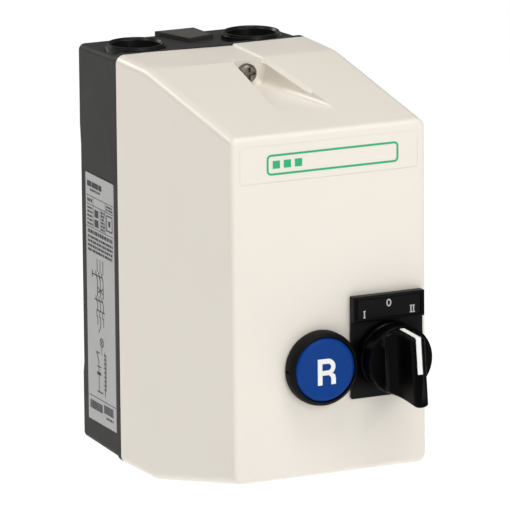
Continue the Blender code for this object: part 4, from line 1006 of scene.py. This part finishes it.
def make_reset_bezel():
    """Black ring on the panel with a sleeve behind it and a small notch in its edge."""
    front_y = box_mm("reset_bezel")[0].y
    seat_y, recess_y = FRONT_Y - 0.3, FRONT_Y - 1.3
    ring_r, recess_r, sleeve_r, bore_r, shoulder_r = 14.5, 12.65, 10.8, 9.3, 4.0
    sleeve_y, shoulder_y = -127.0, -128.5
    outline = rounded_profile(
        [
            (recess_r, recess_y), (recess_r, front_y + 0.1), (12.95, front_y),
            (14.1, front_y + 1.0), (ring_r, front_y + 2.8), (ring_r, seat_y),
            (sleeve_r, seat_y), (sleeve_r, sleeve_y), (shoulder_r, sleeve_y),
            (shoulder_r, shoulder_y), (bore_r, shoulder_y), (bore_r, recess_y),
        ],
        0.35,
        5,
    )
    shape = new_shape(add_turned, outline, 1, 120, RESET_AXIS)
    bezel = finish_mesh("reset_ring", shape, BEZEL_LIT_BLACK)
    notch_half_h = 0.6
    notch = new_shape(
        add_box,
        (RESET_X - ring_r - 1.0, front_y - CLEAR, RESET_Z - notch_half_h),
        (RESET_X - 13.9, FRONT_Y - 1.5, RESET_Z + notch_half_h),
    )
    combine(bezel, "notch", notch, "DIFFERENCE")
    dress(bezel, "cover", "black_controls", "reset_bezel")


def make_reset_cap():
    """Blue cap with a slightly dished face, a soft rim and a guide hub."""
    front_y, back_y = box_mm("reset_cap")[0].y, -140.0
    dish_r, dish, dish_edge, dish_steps = 10.2, 0.55, 0.45, 11
    crest_r, cap_r, hub_r, skirt = 11.3, 12.35, 9.0, 1.9
    outline = [(0.0, front_y + dish)]
    for step in range(1, dish_steps + 1):
        radius = dish_r * step / dish_steps
        outline.append((radius, front_y + dish - dish_edge * (radius / dish_r) ** 4))
    rim = rounded_profile(
        [
            (dish_r, front_y + dish - dish_edge), (crest_r, front_y),
            (cap_r, front_y + 0.9), (cap_r, front_y + skirt), (hub_r, front_y + skirt),
        ],
        0.6,
        6,
    )
    outline += rim[1:] + [(hub_r, back_y), (0.0, back_y)]
    shape = new_shape(add_turned, outline, 1, 120, RESET_AXIS)
    cap = finish_mesh("reset_button_cap", shape, BLUE)
    dress(cap, "reset_button", "blue_button", "reset_cap")


def flat_letter(name, loops, low_y, high_y, finish):
    """A flat shape from closed loops in the XZ plane; the loops after the first are holes."""
    outer, *holes = loops
    letter = finish_mesh(name, new_shape(add_prism, outer, 1, low_y, high_y), finish)
    for hole in holes:
        tool = new_shape(add_prism, hole, 1, low_y - 1.0, high_y + 1.0)
        combine(letter, "counter", tool, "DIFFERENCE")
    letter.data.set_sharp_from_angle(angle=math.radians(SHARP_DEG))
    return letter


def arc(centre, radii, start, end, steps):
    """Points along an elliptic arc, from one angle to the other in degrees."""
    points = []
    for step in range(steps + 1):
        angle = math.radians(start + (end - start) * step / steps)
        x = centre[0] + radii[0] * math.cos(angle)
        points.append((x, centre[1] + radii[1] * math.sin(angle)))
    return points


def make_reset_letter():
    """Plain R for reset: a stem, a bowl and an upright leg."""
    front_y = box_mm("reset_cap")[0].y
    half_w, half_h, stroke = 3.75, 5.05, 1.9
    bar_low, bar_high = -1.35, 0.45
    bowl_r = (half_h - bar_low) / 2
    outer = [(-half_w, -half_h), (-half_w, half_h)]
    outer += arc((half_w - bowl_r - 0.15, half_h - bowl_r), (bowl_r, bowl_r), 90.0, -52.0, 16)
    outer += [(half_w - 0.35, bar_low + 0.05), (half_w, bar_low - 1.5), (half_w, -half_h)]
    outer += [(half_w - stroke, -half_h), (half_w - stroke, bar_low - 1.1)]
    outer += [(half_w - stroke - 0.9, bar_low)]
    outer += [(stroke - half_w, bar_low), (stroke - half_w, -half_h)]
    top = half_h - stroke
    inner_r = (top - bar_high) / 2
    hole = [(stroke - half_w, bar_high), (stroke - half_w, top)]
    hole += arc((half_w - stroke - inner_r, top - inner_r), (inner_r, inner_r), 90.0, -90.0, 10)
    centre = Vector((RESET_X + 0.5, RESET_Z - 0.8))
    loops = []
    for loop in (outer, hole):
        loops.append([tuple(Vector(point) + centre) for point in loop])
    letter = flat_letter("reset_letter", loops, front_y + 0.34, front_y + 0.9, WHITE)
    dress(letter, "reset_button", "white_plastic")


def make_legend_plate():
    """Thin plate behind both controls, with a raised frame for the strip at its top."""
    frame_h, plate_t, ring_clearance_r = 10.05, 1.9, 14.8
    low, high = box_mm("legend_holder")
    frame_low_z = high.z - frame_h
    plate_y = high.y - plate_t
    outline = [
        (high.y, low.z), (plate_y, low.z), (plate_y, frame_low_z),
        (low.y, frame_low_z), (low.y, high.z), (high.y, high.z),
    ]
    shape = new_shape(add_prism, outline, 0, low.x, high.x)
    plate = finish_mesh("legend_plate", shape, GLOSS_BLACK)
    near, far = low.y - CLEAR, high.y + CLEAR
    cuts = bmesh.new()
    add_cylinder(cuts, CONTROL_HOLE_R, 1, near, far, 72, SELECTOR_AXIS)
    add_cylinder(cuts, ring_clearance_r, 1, near, far, 96, RESET_AXIS)
    strip_low, strip_high = box_mm("legend_strip")
    margin = 0.12
    add_box(
        cuts,
        (strip_low.x - margin, near, strip_low.z - margin),
        (strip_high.x + margin, low.y + 1.0, strip_high.z + margin),
    )
    combine(plate, "openings", cuts, "DIFFERENCE")
    soften(plate, 0.35)
    dress(plate, "cover", "black_controls", "legend_holder")


def make_legend_strip():
    low, high = box_mm("legend_strip")
    strip = finish_mesh("legend_insert", new_shape(add_box, low, high), GLOSS_BLACK)
    soften(strip, 0.15, 2)
    dress(strip, "cover", "black_controls", "legend_strip")
    make_position_marks(low.y)


def make_position_marks(face_y):
    """I, O and II on an arc about the selector's axis, the numerals with small serifs."""
    back, front = face_y + 0.02, face_y - 0.05
    bar_w, bar_h, serif = 0.5, 2.9, 0.34
    shape = bmesh.new()

    def block(x, z, width, height):
        low = (x - width / 2, front, z - height / 2)
        add_box(shape, low, (x + width / 2, back, z + height / 2))

    def numeral(x, z, offsets, width):
        for offset in offsets:
            block(x + offset, z, bar_w, bar_h - 2 * serif)
        for end in (1.0, -1.0):
            block(x, z + end * (bar_h - serif) / 2, width, serif)

    side_z = SELECTOR_Z + 16.9
    numeral(SELECTOR_X - 10.45, side_z - 0.1, (0.0,), 0.9)
    numeral(SELECTOR_X + 9.75, side_z + 0.15, (-0.55, 0.55), 2.1)
    sections = []
    centre = (SELECTOR_X - 0.15, SELECTOR_Z + 20.4)
    for inset, y in ((0.0, back), (0.0, front), (bar_w, front), (bar_w, back)):
        ring = arc(centre, (1.05 - inset, 1.5 - inset), 0.0, 345.0, 23)
        sections.append([(x, y, z) for x, z in ring])
    add_loft(shape, sections, ring=True)
    marks = finish_mesh("position_marks", shape, MARK_INK)
    dress(marks, "cover", "black_controls")


def make_selector_bezel():
    """Ring that holds the legend plate, with the sleeve that the shaft turns in."""
    bore_r, ring_r, sleeve_r, edge = 5.4, 13.3, 10.8, 0.9
    low, high = box_mm("selector_bezel")
    back_y = FRONT_Y - 2.5
    outline = rounded_profile(
        [
            (bore_r, low.y), (ring_r - edge, low.y), (ring_r, low.y + edge), (ring_r, back_y),
            (sleeve_r, back_y), (sleeve_r, high.y), (bore_r, high.y),
        ],
        0.3,
    )
    shape = new_shape(add_turned, outline, 1, 96, SELECTOR_AXIS)
    bezel = finish_mesh("selector_ring", shape, GLOSS_BLACK)
    dress(bezel, "cover", "black_controls", "selector_bezel")


# Selector knob; grip and marker heights are measured from the selector's axis
KNOB_R, KNOB_BACK_Y, KNOB_FRONT_Y = 13.35, -149.8, -156.4
GRIP_FRONT_Y, GRIP_LEAN = -171.0, 0.12
GRIP_TOP, GRIP_BOTTOM = (12.6, 12.1), (-13.2, -14.7)
GRIP_HALF_T, GRIP_FLARE, FLARE_SHARE, FLARE_POWER = 2.9, 3.9, 0.55, 2.2


def grip_front_y(height):
    """The grip's front edge leans forward towards its lower end."""
    return GRIP_FRONT_Y - GRIP_LEAN * (GRIP_TOP[1] - height)


def make_knob():
    """Round disc with a hollow-flanked finger grip across it, and its marker groove."""
    radii = (0.0, KNOB_R, KNOB_R, 0.0)
    corners = list(zip(radii, (KNOB_BACK_Y, KNOB_BACK_Y, KNOB_FRONT_Y, KNOB_FRONT_Y)))
    outline = rounded_profile(corners, 0.8, 6)
    shape = new_shape(add_turned, outline, 1, 128, SELECTOR_AXIS)
    knob = finish_mesh("selector_handle", shape, GLOSS_BLACK)
    combine(knob, "grip", grip_shape(), "UNION")
    combine(knob, "groove", marker_shape(0.05), "DIFFERENCE")
    soften(knob, 0.35, 4, 30.0)
    dress(knob, "selector", "black_controls", "selector_knob")


def grip_shape():
    """Grip sections from inside the disc to the front edge; the last few round that edge."""
    end_steps, end_round, rows, inside = 14, 0.45, 18, 3
    edge_r, edge_steps = 0.9, 5
    length = KNOB_FRONT_Y - GRIP_FRONT_Y
    body = 1.0 - edge_r / length
    stations = [(body * row / rows, 0.0) for row in range(-inside, rows)]
    for step in range(edge_steps + 1):
        angle = math.radians(90.0 * step / edge_steps)
        share = 1.0 - (edge_r / length) * (1.0 - math.sin(angle))
        stations.append((share, edge_r * (1.0 - math.cos(angle))))
    sections = []
    for share, inset in stations:
        flare = min(1.0, max(0.0, 1.0 - share / FLARE_SHARE))
        half_t = GRIP_HALF_T + GRIP_FLARE * flare ** FLARE_POWER - inset
        depth = end_round * half_t
        outline = []
        for sign, end in ((1.0, between(GRIP_TOP, share)), (-1.0, between(GRIP_BOTTOM, share))):
            for step in range(end_steps + 1):
                angle = math.radians(180.0 * step / end_steps)
                x = sign * half_t * math.cos(angle)
                height = end - sign * (inset + depth - depth * math.sin(angle))
                y = between((KNOB_FRONT_Y, grip_front_y(height)), share)
                outline.append((SELECTOR_X + x, y, SELECTOR_Z + height))
        sections.append(outline)
    return new_shape(add_loft, sections)


def marker_shape(clearance):
    """L-shaped pointer along the grip's upper end and down its front edge."""
    half_w, proud, tail_z = 1.1 + clearance, 0.12 + clearance, -1.9 - clearance
    depth = proud + 0.9 + clearance
    back_y = KNOB_FRONT_Y - 0.6 + clearance
    outline = [
        (back_y, GRIP_TOP[0] + proud),
        (grip_front_y(GRIP_TOP[1]) - proud, GRIP_TOP[1] + proud),
        (grip_front_y(tail_z) - proud, tail_z),
        (grip_front_y(tail_z) - proud + depth, tail_z),
        (grip_front_y(GRIP_TOP[1]) - proud + depth, GRIP_TOP[1] + proud - depth),
        (back_y, GRIP_TOP[0] + proud - depth),
    ]
    moved = [(y, SELECTOR_Z + height) for y, height in outline]
    return new_shape(add_prism, moved, 0, SELECTOR_X - half_w, SELECTOR_X + half_w)


def make_marker():
    marker = finish_mesh("selector_pointer", marker_shape(0.0), WHITE)
    soften(marker, 0.35, 4)
    dress(marker, "selector", "white_plastic", "knob_marker")


# ---- springs


COIL_STEPS, WIRE_SIDES = 20, 8

# Spring node: coil radius, wire radius, turns, still body, moving body, node at its front end
SPRINGS = {
    "reset_spring": (6.8, 0.45, 4, "cover", "reset_button", "reset_rod"),
    "overload_relay_spring": (1.9, 0.25, 3, "base", "relay_plunger", "overload_relay_plunger"),
}
for hand in ("left", "right"):
    SPRINGS[f"contact_spring_{hand}"] = (
        1.5, 0.2, 4, "cover", f"plunger_{hand}", f"contact_plunger_{hand}"
    )
    SPRINGS[f"contactor_{hand}_spring"] = (
        8.2, 0.35, 2, "base", f"armature_{hand}", f"contactor_{hand}_carrier"
    )


def coil_shape(radius, wire, turns, ends, centre):
    """A helix of round wire along Y, with its wire's middle between the two ends."""
    steps = turns * COIL_STEPS
    sections = []
    for step in range(steps + 1):
        angle = math.tau * step / COIL_STEPS
        along = between(ends, step / steps)
        section = []
        for side in range(WIRE_SIDES):
            around = math.tau * side / WIRE_SIDES
            reach = radius + wire * math.cos(around)
            x = centre[0] + reach * math.cos(angle)
            z = centre[1] + reach * math.sin(angle)
            section.append((x, along + wire * math.sin(around), z))
        sections.append(section)
    return new_shape(add_loft, sections)


def make_springs():
    """A coil of round wire in place of each spring node, at rest."""
    for node, (radius, wire, turns, still, moving, moving_node) in SPRINGS.items():
        low, high = box_mm(node)
        x, z = centre_xz(moving_node)
        ends = (low.y + wire, high.y - wire)
        coil = finish_mesh(f"{node}_coil", coil_shape(radius, wire, turns, ends, (x, z)), ZINC)
        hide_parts(node)
        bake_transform(coil)


# ---- carried CAD pieces


def pair_of(name):
    """The left and the right node of a pair; a star stands for the hand."""
    return [name.replace("*", hand) for hand in ("left", "right")]


def row_of(name, count):
    """Numbered nodes, from 1."""
    return [f"{name}_{number}" for number in range(1, count + 1)]


CARRIED = (
    (RUBBER, ["cover_gasket"]),
    (LABEL, ["side_label"]),
    (BRASS, ["threaded_insert", "earth_terminal"]),
    (ZINC, ["din_rail", "earth_screw", "selector_collar", *pair_of("rail_screw_*")]),
    (ZINC, [*row_of("terminal_screw", 4), *pair_of("contactor_*_core")]),
    (COPPER, [*row_of("power_link", 3), *pair_of("contactor_*_coil")]),
    (SWITCHGEAR, ["overload_relay_housing", *pair_of("contactor_*_base")]),
    (SWITCHGEAR, pair_of("contactor_*_cap")),
    (PALE_GREY, ["terminal_block", *pair_of("contactor_*_carrier")]),
    (GLOSS_BLACK, ["reset_nut", "screw_retainer", *pair_of("contact_block_*")]),
    (WHITE, ["overload_relay_dial", "reset_rod", "selector_shaft", *pair_of("contact_plunger_*")]),
    (BLUE, ["overload_relay_plunger"]),
)


def dress_cad_nodes():
    """Give the CAD nodes that stay in view their finishes."""
    for finish, nodes in CARRIED:
        for node in nodes:
            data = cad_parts[node].data
            data.materials.clear()
            data.materials.append(finish)


# ---- camera, light, floor


CAMERA_YAW, CAMERA_PITCH, CAMERA_ROLL = 25.04, 13.21, -0.53
CAMERA_DISTANCE = 2719.0
CAMERA_TARGET = (7.35, -60.0, 1.46)
FOCAL_PIXELS, PICTURE_PIXELS, SENSOR = 6997.0, 510.0, 36.0


def make_camera():
    """A long lens in front, to the left and above."""
    yaw, pitch = math.radians(CAMERA_YAW), math.radians(CAMERA_PITCH)
    forward = Vector(
        (math.sin(yaw) * math.cos(pitch), math.cos(yaw) * math.cos(pitch), -math.sin(pitch))
    )
    right = Vector((math.cos(yaw), -math.sin(yaw), 0.0))
    up = right.cross(forward)
    roll = Matrix.Rotation(math.radians(CAMERA_ROLL), 3, "Z")
    turn = Matrix((right, up, -forward)).transposed() @ roll
    data = bpy.data.cameras.new("photo_camera")
    data.sensor_width = SENSOR
    data.lens = FOCAL_PIXELS * SENSOR / PICTURE_PIXELS
    data.clip_start, data.clip_end = 0.05, 50.0
    camera = bpy.data.objects.new("photo_camera", data)
    stand = Vector(CAMERA_TARGET) - forward * CAMERA_DISTANCE
    camera.matrix_world = Matrix.Translation(stand * MM) @ turn.to_4x4()
    bpy.context.scene.collection.objects.link(camera)
    bpy.context.scene.camera = camera


def area_light(name, location, target, size, power, tint=(1.0, 1.0, 1.0)):
    """A rectangular soft light; places are in metres."""
    data = bpy.data.lights.new(name, "AREA")
    data.color = tint
    data.shape = "RECTANGLE"
    data.size, data.size_y = size
    data.energy = power
    light = bpy.data.objects.new(name, data)
    light.location = location
    aim = Vector(target) - Vector(location)
    light.rotation_euler = aim.to_track_quat("-Z", "Y").to_euler()
    bpy.context.scene.collection.objects.link(light)


def make_lights():
    middle = (0.0, -0.08, 0.0)
    area_light("upper_left_key", (-1.05, -0.20, 1.05), middle, (0.5, 0.5), 4.3, (1.0, 0.94, 0.82))
    area_light("front_key", (0.05, -1.25, 0.42), middle, (0.6, 0.6), 4.7)
    area_light("top_soft", (0.0, -0.50, 1.30), middle, (0.6, 0.4), 8.9)
    area_light("left_rear_edge", (-0.55, 1.15, 0.62), middle, (0.4, 0.4), 4.0)
    area_light("front_right_edge", (0.60, -1.00, 0.90), middle, (0.25, 0.2), 1.2)
    world = bpy.data.worlds.new("studio")
    world.use_nodes = True
    settings(world.node_tree.nodes["Background"], Color=(1.0, 1.0, 1.0, 1.0), Strength=0.2)
    bpy.context.scene.world = world
    bpy.context.scene.view_settings.view_transform = "Standard"


def make_floor():
    """A plain pale floor well below the case, which hangs on a wall in use."""
    shape = bmesh.new()
    reach, level = 6000.0, -330.0
    corners = [(-reach, -reach), (reach, -reach), (reach, reach), (-reach, reach)]
    shape.faces.new([shape.verts.new((x, y, level)) for x, y in corners])
    pale = bpy.data.materials.new("floor_pale")
    pale.use_nodes = True
    shader = pale.node_tree.nodes["Principled BSDF"]
    settings(shader, Base_Color=(0.3, 0.3, 0.3, 1.0), Roughness=0.9)
    settings(shader, Emission_Color=(1.0, 1.0, 1.0, 1.0), Emission_Strength=0.92)
    floor = finish_mesh("floor", shape, pale)


# ---- build


dress_cad_nodes()
make_cover()
make_name_plate()
make_name_frame()
make_base()
make_pad_sheen_field()
make_plugs()
make_label_print()
make_cover_screw()
make_reset_bezel()
make_reset_cap()
make_reset_letter()
make_legend_plate()
make_legend_strip()
make_selector_bezel()
make_knob()
make_marker()
make_springs()
make_camera()
make_lights()
make_floor()
